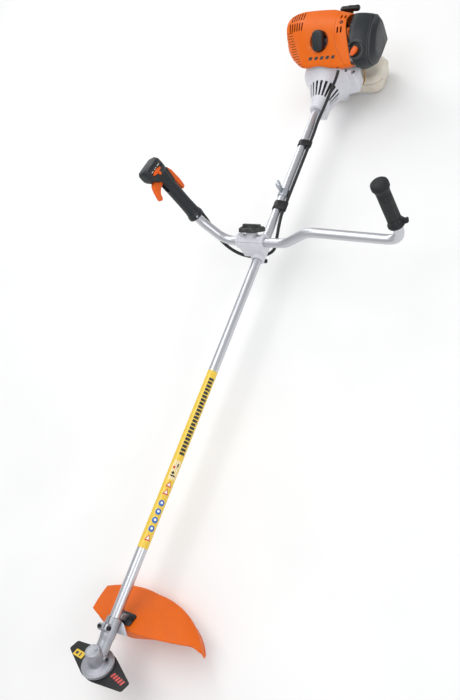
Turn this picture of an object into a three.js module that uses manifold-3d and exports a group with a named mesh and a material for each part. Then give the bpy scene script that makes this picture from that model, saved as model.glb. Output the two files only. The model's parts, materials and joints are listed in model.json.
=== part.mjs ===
// Petrol brush mower with a two-handed bar, lying on its guard and on the foot under its tank.
// Millimetres. +X runs along the drive tube from the cutting head to the engine, +Z is up and
// +Y is the operator's right-hand side. The origin is on the floor, in the middle of the foot.
import * as THREE from 'three';
import { mergeVertices } from 'three/addons/utils/BufferGeometryUtils.js';
import Module from 'manifold-3d';

const wasm = await Module();
wasm.setup();

// ---------- driving dimensions ----------
const GAP = 0.3;                // air left between two pieces that touch
const RUN = 0.3;                // air round a shaft that turns
const FLOOR = -126;             // floor level below the tube's axis

const TUBE_R = 12;              // drive tube, outside
const TUBE_WALL = 1.5;
const TUBE_START = 56;          // where the tube ends inside the gearbox clamp
const TUBE_END = 1562;          // where the tube ends inside the clutch housing
const SHAFT_R = 3.9;            // solid drive shaft

const HEAD_ANGLE = 29.2;        // the output axis leans back by this from upright
const CAP_R = 16.5;             // gearbox, round part over the output shaft
const CAP_TOP = 38;
const FLANGE_R = 36;
const FLANGE_Z = -2;            // top of the flange's rim
const FLANGE_BOTTOM = -6.6;
const NECK_R = 13.2;
const CLAMP_R = 16.6;           // gearbox clamp round the tube
const CLAMP_START = 54;
const CLAMP_END = 93;
const GEAR_ROOM_R = 13.8;
const PINION_TEETH = 10;
const GEAR_TEETH = 14;
const CONE_DISTANCE = 18;       // from the meeting point of the axes to the gears' wide ends
const CONE_INNER = 12;
const OUTPUT_R = 5;             // output shaft

const BLADE_LENGTH = 178;
const BLADE_WIDTH = 71;
const BLADE_END_WIDTH = 26;
const BLADE_THICK = 2;
const BLADE_TURN = 13.5;        // how far the blade stands off square
const PLATE_THICK = 2.6;        // thrust plate
const SPIGOT_R = 9.7;

const GUARD_R = 194;            // outer edge, about the output axis
const GUARD_GROW = 0.66;        // the edge moves out by this per degree past GUARD_ROUND
const GUARD_ROUND = 10;
const GUARD_LEFT = 64;          // degrees round to the operator's left
const GUARD_RIGHT = 31;
const GUARD_FRONT = 76;         // front edge behind the output axis
const GUARD_WALL = 2.6;
const GUARD_TOP = 22.4;         // height of the roof at its front edge
const GUARD_RIM = 14;           // height of the roof at its outer edge
const SKIRT_END = -6;           // bottom of the skirt at its left end

const BAR_X = 1043;             // handlebar axis across the clamp
const BAR_Z = 42;
const BAR_R = 12;
const BAR_WALL = 1.8;
const BAR_LEAN = 10;            // uprights lean back by this
const HOLD_WIDTH = 78;          // width of the handle clamp
const HOLD_Y = 8;               // the clamp's middle, to the operator's right of the tube
const HOLD_LEAN = 46;           // the clamp's cap and knob lean back by this
const KNOB_R = 35;
const GRIP_R = 16.5;            // plain grip
const GRIP_LENGTH = 128;
const THROTTLE_R = 17;

const STRAP_LOW_X = 1186;
const STRAP_HIGH_X = 1398;
const EYE_X = 1228;

const LABEL_START = 247;
const LABEL_END = 689;
const LABEL_WALL = 0.5;

const MOUTH_X = 1521;           // front of the clutch housing
const FAN_R = 72;               // clutch housing at its rear rim
const FAN_REAR = 1662;
const DRUM_R = 37;
const DRUM_X = 1600;
const DRUM_LENGTH = 24;
const CRANK_R = 8;
const CRANK_END = 1756;
const THROW = 14;               // crank radius, half the stroke
const BORE_R = 20;
const CYL_X = 1700;             // cylinder axis
const CYL_BASE = 42;
const CYL_TOP = 110;
const CASE_FRONT = FAN_REAR + GAP;
const CASE_REAR = 1738;

const SHROUD_WALL = 3;
const SHROUD_BOTTOM = 16;
const SHROUD_SIDE = 118;        // muffler side
const SEAM_Y = -62;             // between the shroud and its side panel
const PANEL_Y = -92;            // between the side panel and the filter cover
const COVER_Y = -150;           // outer face of the filter cover
const COVER_BOTTOM = 4;
const STARTER_R = 54;
const STARTER_X = 1755;
const STARTER_DEPTH = 38;

const TANK_FRONT = 1696;
const TANK_REAR = 1798;
const TANK_LEFT = -116;
const TANK_RIGHT = 80;
const TANK_TOP = -58;

const FOOT_X = 1742;            // middle of the foot
const FOOT_LENGTH = 84;
const FOOT_WIDTH = 140;
const FOOT_THICK = 5;

// ---------- colours ----------
const paint = (color, roughness, metalness) =>
  new THREE.MeshStandardMaterial({ color, roughness, metalness });
const ORANGE = paint(0xec6a10, 0.45, 0);
const SLATE = paint(0x2e353a, 0.6, 0);
const BLACK = paint(0x17191b, 0.65, 0);
const CASTING = paint(0xa9abb2, 0.45, 0.7);
const HOUSING = paint(0xd8d8de, 0.5, 0.1);
const ALUMINIUM = paint(0xc9ccd0, 0.3, 0.9);
const STEEL = paint(0x9a9da1, 0.35, 0.9);
const BLADE_BLACK = paint(0x25282e, 0.5, 0.3);
const LABEL = paint(0xe9c63a, 0.5, 0);
const TANK = paint(0xddd6cc, 0.4, 0);
const PAPER = paint(0xe6e0cf, 0.9, 0);

// ---------- helpers ----------
const rad = THREE.MathUtils.degToRad;
const machine = new THREE.Group();
machine.position.set(-FOOT_X, 0, -FLOOR);
const head = new THREE.Group();
head.rotation.y = rad(HEAD_ANGLE);
const bar = new THREE.Group();
bar.position.set(BAR_X, 0, BAR_Z);
bar.rotation.y = rad(BAR_LEAN);
machine.add(head, bar);

function add(parent, name, geometry, material) {
  const mesh = new THREE.Mesh(geometry, material);
  mesh.name = name;
  parent.add(mesh);
  return mesh;
}

function weld(geometry) {
  const bare = geometry.index ? geometry.toNonIndexed() : geometry.clone();
  bare.deleteAttribute('normal');
  bare.deleteAttribute('uv');
  return mergeVertices(bare, 1e-4);
}

function solid(geometry) {
  const welded = weld(geometry);
  const mesh = new wasm.Mesh({
    numProp: 3,
    vertProperties: new Float32Array(welded.attributes.position.array),
    triVerts: new Uint32Array(welded.index.array),
  });
  mesh.merge();
  return new wasm.Manifold(mesh);
}

function geometryOf(manifold) {
  const mesh = manifold.getMesh();
  const geometry = new THREE.BufferGeometry();
  geometry.setAttribute('position', new THREE.BufferAttribute(mesh.vertProperties, 3));
  geometry.setIndex(new THREE.BufferAttribute(mesh.triVerts, 1));
  return geometry;
}

function join(...shapes) {
  return geometryOf(shapes.map(solid).reduce((whole, shape) => whole.add(shape)));
}

function cut(shape, ...tools) {
  return geometryOf(tools.map(solid).reduce((left, tool) => left.subtract(tool), solid(shape)));
}

function common(shape, other) {
  return geometryOf(solid(shape).intersect(solid(other)));
}

function block(x0, x1, y0, y1, z0, z1) {
  return new THREE.BoxGeometry(x1 - x0, y1 - y0, z1 - z0)
    .translate((x0 + x1) / 2, (y0 + y1) / 2, (z0 + z1) / 2);
}

// A turned piece: the profile holds [along, radius] pairs. axis is 'x' or 'z'.
function turned(profile, sides = 20, axis = 'x') {
  const points = profile.map(([along, radius]) => new THREE.Vector2(radius, along));
  const area = THREE.ShapeUtils.area(points.map((p) => new THREE.Vector2(p.x, p.y)));
  const ordered = area > 0 ? points : points.slice().reverse();
  const closed = ordered[0].x > 1e-9 || ordered[ordered.length - 1].x > 1e-9;
  if (closed) ordered.push(ordered[0].clone());
  const geometry = new THREE.LatheGeometry(ordered, sides);
  return axis === 'x' ? geometry.rotateZ(-Math.PI / 2) : geometry.rotateX(Math.PI / 2);
}

function rod(start, end, radius, sides = 16, axis = 'x') {
  return turned([[start, 0], [start, radius], [end, radius], [end, 0]], sides, axis);
}

function ring(start, end, outer, inner, sides = 20, axis = 'x') {
  return turned([[start, inner], [start, outer], [end, outer], [end, inner]], sides, axis);
}

function outline(points) {
  return new THREE.Shape(points.map(([x, y]) => new THREE.Vector2(x, y)));
}

function roundedRectangle(width, height, radius) {
  const [w, h, r] = [width / 2, height / 2, radius];
  const shape = new THREE.Shape();
  shape.absarc(w - r, h - r, r, 0, Math.PI / 2);
  shape.absarc(-w + r, h - r, r, Math.PI / 2, Math.PI);
  shape.absarc(-w + r, -h + r, r, Math.PI, Math.PI * 1.5);
  shape.absarc(w - r, -h + r, r, Math.PI * 1.5, Math.PI * 2);
  shape.closePath();
  return shape;
}

function slab(shape, thickness, bevel = 0, curveSegments = 3) {
  const settings = { depth: thickness - 2 * bevel, curveSegments, bevelEnabled: bevel > 0 };
  Object.assign(settings, { bevelThickness: bevel, bevelSize: bevel, bevelOffset: -bevel, bevelSegments: 1 });
  return new THREE.ExtrudeGeometry(shape, settings).translate(0, 0, bevel);
}

function pillow(x, y, z, radius, bevel) {
  return slab(roundedRectangle(x, y, radius), z, bevel).translate(0, 0, -z / 2);
}

const vectors = (points) => points.map((p) => new THREE.Vector3(...p));

function sweep(path, radius, steps, sides) {
  const circle = new THREE.Shape();
  circle.absarc(0, 0, radius, 0, Math.PI * 2);
  return new THREE.ExtrudeGeometry(circle, {
    steps, curveSegments: sides, bevelEnabled: false, extrudePath: path,
  });
}

// A solid through equal rings of points, closed at both ends.
function loft(rings) {
  const count = rings[0].length;
  const positions = rings.flat().flatMap((p) => [p.x, p.y, p.z]);
  const faces = [];
  for (let r = 0; r + 1 < rings.length; r += 1) {
    for (let i = 0; i < count; i += 1) {
      const a = r * count + i;
      const b = r * count + ((i + 1) % count);
      faces.push(a, b, b + count, a, b + count, a + count);
    }
  }
  for (const [r, flip] of [[0, true], [rings.length - 1, false]]) {
    const centre = positions.length / 3;
    const middle = rings[r].reduce((sum, p) => sum.add(p), new THREE.Vector3()).divideScalar(count);
    positions.push(middle.x, middle.y, middle.z);
    for (let i = 0; i < count; i += 1) {
      const [a, b] = [r * count + i, r * count + ((i + 1) % count)];
      faces.push(centre, ...(flip ? [b, a] : [a, b]));
    }
  }
  const geometry = new THREE.BufferGeometry();
  geometry.setAttribute('position', new THREE.Float32BufferAttribute(positions, 3));
  geometry.setIndex(faces);
  const volume = solidVolume(geometry);
  if (volume < 0) geometry.index.array.reverse();
  return geometry;
}

function solidVolume(geometry) {
  const [p, index] = [geometry.attributes.position, geometry.index];
  const corner = [0, 1, 2].map(() => new THREE.Vector3());
  let volume = 0;
  for (let i = 0; i < index.count; i += 3) {
    corner.forEach((c, k) => c.fromBufferAttribute(p, index.getX(i + k)));
    volume += corner[0].dot(corner[1].clone().cross(corner[2])) / 6;
  }
  return volume;
}

// ---------- cutting head: gears ----------
const AXES_ANGLE = rad(90 - HEAD_ANGLE);
const PINION_CONE = Math.atan(Math.sin(AXES_ANGLE) / (GEAR_TEETH / PINION_TEETH + Math.cos(AXES_ANGLE)));
const GEAR_CONE = AXES_ANGLE - PINION_CONE;

// A bevel gear with its apex at the origin, opening along +Z. Its teeth are similar
// all the way down to the inner end, and a hub closes the back.
function bevelGear(teeth, cone, phase, hub) {
  const tip = cone + rad(3.4);
  const root = cone - rad(5);
  const pitch = (2 * Math.PI) / teeth;
  const section = [];
  for (let tooth = 0; tooth < teeth; tooth += 1) {
    for (const [share, angle] of [[-0.24, root], [-0.1, tip], [0.1, tip], [0.24, root]]) {
      section.push([phase + (tooth + share) * pitch, angle]);
    }
  }
  const end = (distance) => section.map(([turn, angle]) => new THREE.Vector3(
    distance * Math.sin(angle) * Math.cos(turn),
    distance * Math.sin(angle) * Math.sin(turn),
    distance * Math.cos(angle),
  ));
  const back = CONE_DISTANCE * Math.cos(root) - 0.6;
  return join(loft([end(CONE_INNER), end(CONE_DISTANCE)]), rod(back, back + hub.length, hub.radius, 12, 'z'));
}

const pinionBack = CONE_DISTANCE * Math.cos(PINION_CONE) + 6;
const pinion = bevelGear(PINION_TEETH, PINION_CONE, 0, { radius: 6.5, length: 5 });
add(machine, 'bevel_pinion', cut(pinion, rod(0, 60, SHAFT_R + GAP, 12, 'z')).rotateY(Math.PI / 2), STEEL);
const gear = bevelGear(GEAR_TEETH, GEAR_CONE, Math.PI / GEAR_TEETH, { radius: 9, length: 3.4 });
add(head, 'bevel_gear', cut(gear, rod(0, 60, OUTPUT_R + GAP, 12, 'z')), STEEL);

const UPPER_BEARING = [23, 31];
const LOWER_BEARING = [FLANGE_BOTTOM + 0.6, FLANGE_BOTTOM + 5];
for (const [name, [low, high]] of [['upper', UPPER_BEARING], ['lower', LOWER_BEARING]]) {
  add(head, `output_bearing_${name}`,
    ring(low, high, GEAR_ROOM_R - GAP, OUTPUT_R + RUN, 20, 'z'), STEEL);
}
const PLATE_TOP = FLANGE_BOTTOM - 0.5;
const PLATE_BOTTOM = PLATE_TOP - PLATE_THICK;
const BLADE_TOP = PLATE_BOTTOM - GAP;
const BLADE_BOTTOM = BLADE_TOP - BLADE_THICK;
const OUTPUT_END = BLADE_BOTTOM - 20;
add(head, 'output_shaft', rod(OUTPUT_END, UPPER_BEARING[1] + 1, OUTPUT_R, 20, 'z'), STEEL);

const INPUT_BEARING = [pinionBack + 3, pinionBack + 12];
add(machine, 'input_bearing', ring(...INPUT_BEARING, 10.8, SHAFT_R + RUN, 16), STEEL);

// ---------- cutting head: gearbox ----------
function gearbox() {
  const cap = turned([
    [CAP_TOP, 0], [CAP_TOP, CAP_R - 3], [CAP_TOP - 1, CAP_R - 1], [CAP_TOP - 3, CAP_R],
    [4, CAP_R + 0.5], [-3, CAP_R + 4], [FLANGE_Z, FLANGE_R - 6], [FLANGE_Z - 1, FLANGE_R],
    [FLANGE_BOTTOM, FLANGE_R], [FLANGE_BOTTOM, 0],
  ], 20, 'z').rotateY(rad(HEAD_ANGLE));
  const neck = turned([
    [4, 0], [4, NECK_R + 2], [24, NECK_R], [CLAMP_START - 8, NECK_R], [CLAMP_START, CLAMP_R],
    [CLAMP_END, CLAMP_R], [CLAMP_END, 0],
  ], 16);
  const lug = slab(roundedRectangle(17, 15, 7), 30, 1).rotateX(Math.PI / 2)
    .translate((CLAMP_START + CLAMP_END) / 2 - 4, 8, CLAMP_R + 1);
  const sideLug = slab(roundedRectangle(15, 20, 6), 20, 1).translate(CLAMP_START + 13, CLAMP_R + 1, -8);
  const boss = rod(0, 9, 5.5, 12, 'z').rotateX(Math.PI / 2).translate(12, -NECK_R + 2, 2);
  const room = rod(FLANGE_BOTTOM - 1, UPPER_BEARING[1] + 2.4, GEAR_ROOM_R, 16, 'z').rotateY(rad(HEAD_ANGLE));
  const tunnel = rod(6, TUBE_START + 2, 11.2, 16);
  const socket = rod(TUBE_START - GAP, CLAMP_END + 2, TUBE_R + GAP, 20);
  const slit = block(TUBE_START + 6, CLAMP_END + 2, -1.2, 1.2, TUBE_R - 2, CLAMP_R + 14);
  const screw = rod(-24, 40, 3.3, 8, 'z').rotateX(Math.PI / 2)
    .translate((CLAMP_START + CLAMP_END) / 2 - 4, 0, CLAMP_R + 3);
  const plug = rod(-14, 16, 3.3, 8, 'z').rotateX(Math.PI / 2).translate(12, -NECK_R, 2);
  const sideScrew = rod(-12, 40, 2.8, 8, 'z').translate(CLAMP_START + 13, CLAMP_R + 5, 0);
  const below = block(-90, 90, -60, 60, -60, FLANGE_BOTTOM).rotateY(rad(HEAD_ANGLE));
  return cut(join(cap, neck, lug, sideLug, boss), room, tunnel, socket, slit, screw, plug, sideScrew, below);
}
add(machine, 'gearbox_housing', gearbox(), CASTING);

function capScrew(radius, headRadius, headHeight, length) {
  const body = turned([
    [-length, 0], [-length, radius], [0, radius], [0, headRadius], [headHeight - 0.6, headRadius],
    [headHeight, headRadius - 0.6], [headHeight, 0],
  ], 12, 'z');
  const socket = new THREE.CylinderGeometry(headRadius * 0.5, headRadius * 0.5, headHeight, 6)
    .rotateX(Math.PI / 2).translate(0, 0, headHeight);
  return cut(body, socket);
}
add(machine, 'gearbox_clamp_screw', capScrew(3, 5, 5, 26).rotateX(Math.PI / 2)
  .translate((CLAMP_START + CLAMP_END) / 2 - 4, -22 - GAP, CLAMP_R + 3), BLACK);
add(machine, 'gearbox_lug_screw', capScrew(2.5, 4.6, 4.4, 18)
  .translate(CLAMP_START + 13, CLAMP_R + 5, 12 + GAP), BLACK);
add(machine, 'grease_plug', capScrew(3, 4.6, 2.6, 8).rotateX(Math.PI / 2)
  .translate(12, -NECK_R + 2 - 9 - GAP, 2), STEEL);

// ---------- cutting head: blade and its fixings ----------
const plate = turned([
  [PLATE_TOP, OUTPUT_R + GAP], [PLATE_TOP, FLANGE_R - 0.6], [PLATE_TOP - 0.8, FLANGE_R],
  [PLATE_BOTTOM, FLANGE_R], [PLATE_BOTTOM, SPIGOT_R], [BLADE_BOTTOM + 0.4, SPIGOT_R],
  [BLADE_BOTTOM + 0.4, OUTPUT_R + GAP],
], 20, 'z');
add(head, 'thrust_plate', plate, CASTING);

function blade() {
  const [l, w, e] = [BLADE_LENGTH / 2, BLADE_WIDTH / 2, BLADE_END_WIDTH / 2];
  const shape = outline([
    [e - 3, l], [-e, l], [-w, 14], [-w, -14], [-e + 3, -l], [e, -l], [w, -14], [w, 14],
  ]);
  const hole = new THREE.Path();
  hole.absarc(0, 0, SPIGOT_R + GAP, 0, Math.PI * 2);
  shape.holes.push(hole);
  return slab(shape, BLADE_THICK, 0, 12);
}
const bladeMesh = add(head, 'blade', blade().rotateZ(rad(-BLADE_TURN)), BLADE_BLACK);
bladeMesh.position.z = BLADE_BOTTOM;

const RIDER_BOTTOM = BLADE_BOTTOM - GAP - 9;
add(head, 'rider_plate', turned([
  [BLADE_BOTTOM - GAP, OUTPUT_R + GAP], [BLADE_BOTTOM - GAP, 27], [BLADE_BOTTOM - 2.5, 27],
  [RIDER_BOTTOM, 17], [RIDER_BOTTOM, OUTPUT_R + GAP],
], 16, 'z'), STEEL);
const nut = new THREE.CylinderGeometry(11, 11, 9, 6).rotateX(Math.PI / 2)
  .translate(0, 0, RIDER_BOTTOM - GAP - 4.5);
add(head, 'blade_nut', cut(nut, rod(-80, 0, OUTPUT_R + GAP, 20, 'z')), STEEL);

// ---------- guard ----------
// A roof that falls away behind the blade, and a skirt that drops from its outer edge to the floor.
const SKIRT_LOW = (FLOOR + (GUARD_R + 2) * Math.sin(rad(HEAD_ANGLE))) / Math.cos(rad(HEAD_ANGLE));
const GUARD_FRONT_RIGHT = 83;   // the front edge runs from here on the right
const GUARD_FRONT_LEFT = 185;   // to here on the left

function guardRing(share) {
  const turn = GUARD_LEFT * share - GUARD_RIGHT * (1 - share);
  const edge = GUARD_R + GUARD_GROW * Math.max(0, turn - GUARD_ROUND);
  const side = GUARD_FRONT_RIGHT - (GUARD_FRONT_RIGHT + GUARD_FRONT_LEFT) * share;
  const swept = side > 0 ? 20 * (side / GUARD_FRONT_RIGHT) ** 2 : 24 * (side / GUARD_FRONT_LEFT) ** 2;
  const front = new THREE.Vector2(GUARD_FRONT + swept, side);
  const out = (radius) => new THREE.Vector2(radius * Math.cos(rad(turn)), -radius * Math.sin(rad(turn)));
  const rear = out(edge - 5);
  const low = THREE.MathUtils.lerp(SKIRT_LOW, SKIRT_END, Math.max(0, turn / GUARD_LEFT) ** 2);
  const outer = [];
  const inner = [];
  const level = (flat, height) => new THREE.Vector3(flat.x, flat.y, height);
  for (let j = 0; j <= 5; j += 1) {
    const flat = front.clone().lerp(rear, j / 5);
    const height = THREE.MathUtils.lerp(GUARD_TOP, GUARD_RIM, (j / 5) ** 2);
    outer.push(level(flat, height));
    inner.push(level(flat, height - GUARD_WALL));
  }
  outer.push(level(out(edge - 1.5), GUARD_RIM - 1.5), level(out(edge), GUARD_RIM - 6),
    level(out(edge + 2), low));
  const wall = edge - GUARD_WALL;
  inner.push(level(out(wall - 1.5), GUARD_RIM - 4), level(out(wall), GUARD_RIM - 7),
    level(out(wall + 2), low));
  return [...outer, ...inner.reverse()];
}

const GUARD_SCREWS = [[104, -23], [104, 23]];
const guardHole = ([x, y]) => rod(0, 60, 2.5 + GAP, 8, 'z').translate(x, y, 0).rotateY(rad(HEAD_ANGLE));

function guard() {
  const columns = 20;
  const shell = loft(Array.from({ length: columns + 1 }, (_, i) => guardRing(i / columns)));
  return cut(shell.rotateY(rad(HEAD_ANGLE)), ...GUARD_SCREWS.map(guardHole));
}
add(machine, 'guard', guard(), ORANGE);

// ---------- drive tube and shaft ----------
add(machine, 'drive_tube', ring(TUBE_START, TUBE_END, TUBE_R, TUBE_R - TUBE_WALL, 20), ALUMINIUM);
const SHAFT_START = pinionBack - 4;
const SHAFT_END = DRUM_X + 5;
add(machine, 'drive_shaft', rod(SHAFT_START, SHAFT_END, SHAFT_R, 12), STEEL);
add(machine, 'shaft_bush', ring(820, 850, TUBE_R - TUBE_WALL - GAP, SHAFT_R + RUN, 20), BLACK);
add(machine, 'label_sleeve',
  ring(LABEL_START, LABEL_END, TUBE_R + 0.1 + LABEL_WALL, TUBE_R + 0.1, 20), LABEL);

// ---------- handle clamp ----------
const HOLD_R = BAR_R + 6.5;
const hold = new THREE.Group();
hold.position.set(BAR_X, HOLD_Y, BAR_Z);
hold.rotation.y = rad(HOLD_LEAN);
machine.add(hold);

const across = (start, end, radius, sides = 16) => rod(start, end, radius, sides, 'z').rotateX(-Math.PI / 2);

function clampBase() {
  const neck = pillow(44, HOLD_WIDTH - 8, BAR_Z, 5, 1.5).translate(BAR_X, HOLD_Y, BAR_Z / 2);
  const sleeve = rod(BAR_X - 27, BAR_X + 27, TUBE_R + 6, 16);
  const saddle = across(-HOLD_WIDTH / 2, HOLD_WIDTH / 2, HOLD_R).translate(BAR_X, HOLD_Y, BAR_Z);
  const lug = across(-9, 9, 7, 20).translate(BAR_X - 15, 0, -TUBE_R - 9);
  const upper = block(-60, 60, -80, 80, -GAP, 60).rotateY(rad(HOLD_LEAN)).translate(BAR_X, 0, BAR_Z);
  const barHole = across(-80, 80, BAR_R + GAP).translate(BAR_X, 0, BAR_Z);
  const tubeHole = rod(BAR_X - 60, BAR_X + 60, TUBE_R + GAP, 20);
  const pinch = across(-30, 30, 3.3, 14).translate(BAR_X - 15, 0, -TUBE_R - 9);
  return cut(join(neck, sleeve, saddle, lug), upper, barHole, tubeHole, pinch);
}
add(machine, 'handle_clamp_base', clampBase(), HOUSING);

function clampCap() {
  const shell = across(-HOLD_WIDTH / 2, HOLD_WIDTH / 2, HOLD_R);
  const ribs = [-1, 1].map((side) =>
    across(-3, 3, HOLD_R + 2.5).translate(0, side * (HOLD_WIDTH / 2 - 3), 0));
  const seat = rod(0, HOLD_R + 7, 15, 16, 'z');
  const under = block(-60, 60, -80, 80, -60, 0);
  return cut(join(shell, ...ribs, seat), under, across(-80, 80, BAR_R + GAP));
}
add(hold, 'handle_clamp_cap', clampCap(), HOUSING);

const KNOB_Z = HOLD_R + 7 + GAP;
const KNOB_LOBE = 3.2;          // half the depth of its scallops
function clampKnob() {
  const lobes = 5;
  const steps = 30;
  const rim = Array.from({ length: steps }, (_, i) => {
    const turn = (2 * Math.PI * i) / steps;
    const radius = KNOB_R - KNOB_LOBE + KNOB_LOBE * Math.cos(lobes * turn);
    return [radius * Math.cos(turn), radius * Math.sin(turn)];
  });
  const wing = pillow(13, 50, 9, 6, 2).translate(0, 0, 15);
  return join(slab(outline(rim), 12, 2, 1), wing).translate(0, 0, KNOB_Z);
}
add(hold, 'clamp_knob', clampKnob(), BLACK);
add(machine, 'clamp_pinch_screw', capScrew(3, 5.4, 5, 16).rotateX(Math.PI / 2)
  .translate(BAR_X - 15, -9 - GAP, -TUBE_R - 9), STEEL);

// ---------- handlebar and grips (in the bar's own group: Y across, Z up the uprights) ----------
const LEFT_FOOT = [-390, 76];
const LEFT_LEAN = 8.1;          // the left grip leans in by this
const RIGHT_FOOT = [141, 78];
const RIGHT_LEAN = 20.1;        // the right grip leans out by this
const LEFT_TUBE = 112;          // how far the tube runs up inside each grip
const RIGHT_TUBE = 96;

function upright(foot, lean, length) {
  return [foot[0] + length * Math.sin(rad(lean)), foot[1] + length * Math.cos(rad(lean))];
}

// A tube of straight runs joined by bends, in the plane X = 0.
function bentTube(points, radii, radius, sides) {
  const corners = vectors(points.map(([y, z]) => [0, y, z]));
  const stations = [[corners[0], corners[1].clone().sub(corners[0])]];
  radii.forEach((bend, i) => {
    const corner = corners[i + 1];
    const into = corner.clone().sub(corners[i]).normalize();
    const away = corners[i + 2].clone().sub(corner).normalize();
    const reach = bend * Math.tan(into.angleTo(away) / 2);
    const curve = new THREE.QuadraticBezierCurve3(
      corner.clone().addScaledVector(into, -reach), corner, corner.clone().addScaledVector(away, reach),
    );
    for (let step = 0; step <= 4; step += 1) {
      stations.push([curve.getPoint(step / 4), curve.getTangent(step / 4)]);
    }
  });
  const last = corners.length - 1;
  stations.push([corners[last], corners[last].clone().sub(corners[last - 1])]);
  return loft(stations.map(([centre, direction]) => {
    const side = new THREE.Vector3(0, -direction.z, direction.y).normalize();
    return Array.from({ length: sides }, (_, i) => {
      const turn = (2 * Math.PI * i) / sides;
      const out = side.clone().multiplyScalar(radius * Math.cos(turn));
      return centre.clone().add(out).add(new THREE.Vector3(radius * Math.sin(turn), 0, 0));
    });
  }));
}
function barShape(radius, past, sides) {
  return bentTube([
    upright(RIGHT_FOOT, RIGHT_LEAN, RIGHT_TUBE + past), upright(RIGHT_FOOT, RIGHT_LEAN, -14),
    [88, 0], [-88, 0],
    [-160, 44], upright(LEFT_FOOT, LEFT_LEAN, -44), upright(LEFT_FOOT, LEFT_LEAN, LEFT_TUBE + past),
  ], [90, 60, 70, 70, 34], radius, sides);
}
add(bar, 'handlebar', cut(barShape(BAR_R, 0, 12), barShape(BAR_R - BAR_WALL, 2, 8)), ALUMINIUM);

const leftHand = new THREE.Group();
leftHand.position.set(0, ...LEFT_FOOT);
leftHand.rotation.x = rad(-LEFT_LEAN);
const rightHand = new THREE.Group();
rightHand.position.set(0, ...RIGHT_FOOT);
rightHand.rotation.x = rad(-RIGHT_LEAN);
bar.add(leftHand, rightHand);

add(leftHand, 'left_grip', turned([
  [4, BAR_R + GAP], [4, 18], [7, 19.5], [12, 19.5], [16, GRIP_R], [GRIP_LENGTH - 22, GRIP_R - 0.5],
  [GRIP_LENGTH - 14, 20], [GRIP_LENGTH - 5, 20.5], [GRIP_LENGTH, 17], [GRIP_LENGTH, 0],
  [LEFT_TUBE + 2, 0], [LEFT_TUBE + 2, BAR_R + GAP],
], 18, 'z'), BLACK);

const HEAD_LOW = 150;           // throttle grip: the head starts here
const HEAD_TOP = 188;
// The trigger turns about X -15, Z 144 of the right-hand frame, and the lockout lever about X 13, Z 146.
const SWITCH_Y = -22;
const POCKET = 12.6;            // width of the two lever pockets
const LEVER = 11;

function plateXZ(points, width) {
  return slab(outline(points), width, 1, 3).translate(0, 0, -width / 2).rotateX(Math.PI / 2);
}

function throttleGrip() {
  const body = turned([
    [2, 0], [2, 20.5], [14, 21], [20, 18], [26, THROTTLE_R], [HEAD_LOW + 6, THROTTLE_R + 1],
    [HEAD_LOW + 6, 0],
  ], 18, 'z');
  const head = pillow(64, 44, HEAD_TOP - HEAD_LOW, 20, 8).translate(-12, 0, (HEAD_TOP + HEAD_LOW) / 2);
  const chin = plateXZ([[-4, 112], [16, 112], [24, 152], [-36, 156], [-26, 142], [-16, 136]], 30);
  const tube = rod(0, RIGHT_TUBE + 2, BAR_R + GAP, 18, 'z');
  const front = block(-40, -3, -POCKET / 2, POCKET / 2, 104, HEAD_LOW + 6);
  const rear = block(6, 40, -POCKET / 2, POCKET / 2, RIGHT_TUBE + 4, HEAD_LOW + 4);
  const track = block(-26, 8, SWITCH_Y - 2, SWITCH_Y + 5, HEAD_TOP - 30, HEAD_TOP - 12);
  return cut(join(body, head, chin), tube, front, rear, track);
}
add(rightHand, 'throttle_grip', throttleGrip(), SLATE);
add(rightHand, 'throttle_trigger', plateXZ([
  [-8, 141], [-11, 151], [-26, 152], [-43, 147], [-54, 131], [-56, 110], [-48, 107], [-42, 119],
  [-30, 127], [-16, 129],
], LEVER), ORANGE);
add(rightHand, 'lockout_lever', plateXZ([
  [9, 150], [19, 151.5], [28, 147], [34, 132], [35, 100], [31, 80], [23, 78], [22, 104], [17, 132], [9, 140],
], LEVER), ORANGE);
const switchShape = join(
  block(-15, -3, SWITCH_Y + 0.6, SWITCH_Y + 4.6, HEAD_TOP - 29.4, HEAD_TOP - 12.6),
  block(-13, -5, SWITCH_Y - 6, SWITCH_Y + 2, HEAD_TOP - 25, HEAD_TOP - 17),
);
add(rightHand, 'stop_switch', switchShape, ORANGE);

// ---------- throttle cable, its straps and the carrying eye ----------
const CABLE_R = 4.2;
const CABLE_Y = -19.4;            // where it lies beside the tube
const CABLE_Z = 2;
const CABLE_POINTS = [
  [1606, -58, 62], [1590, -55, 54], [1560, -42, 35], [1525, -29, 16], [1480, -19.5, 5],
  [1440, CABLE_Y, CABLE_Z], [STRAP_HIGH_X, CABLE_Y, CABLE_Z], [1300, CABLE_Y, CABLE_Z],
  [STRAP_LOW_X + 20, CABLE_Y, CABLE_Z], [STRAP_LOW_X - 15, CABLE_Y, CABLE_Z],
  [STRAP_LOW_X - 28, CABLE_Y, CABLE_Z - 0.3], [1128, -20.5, -4],
  [1092, -23, -13], [1068, -18, -27], [1055, 4, -34], [1043, 34, -28], [1036, 62, -8],
  [1039, 90, 18], [1054, 118, 52], [1070, 132, 84], [1074.5, 138.5, 108], [1076.5, 140.4, 114.2],
];

const cablePath = new THREE.CatmullRomCurve3(vectors(CABLE_POINTS), false, 'centripetal');
add(machine, 'throttle_cable', sweep(cablePath, CABLE_R, 46, 4), BLACK);

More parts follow.
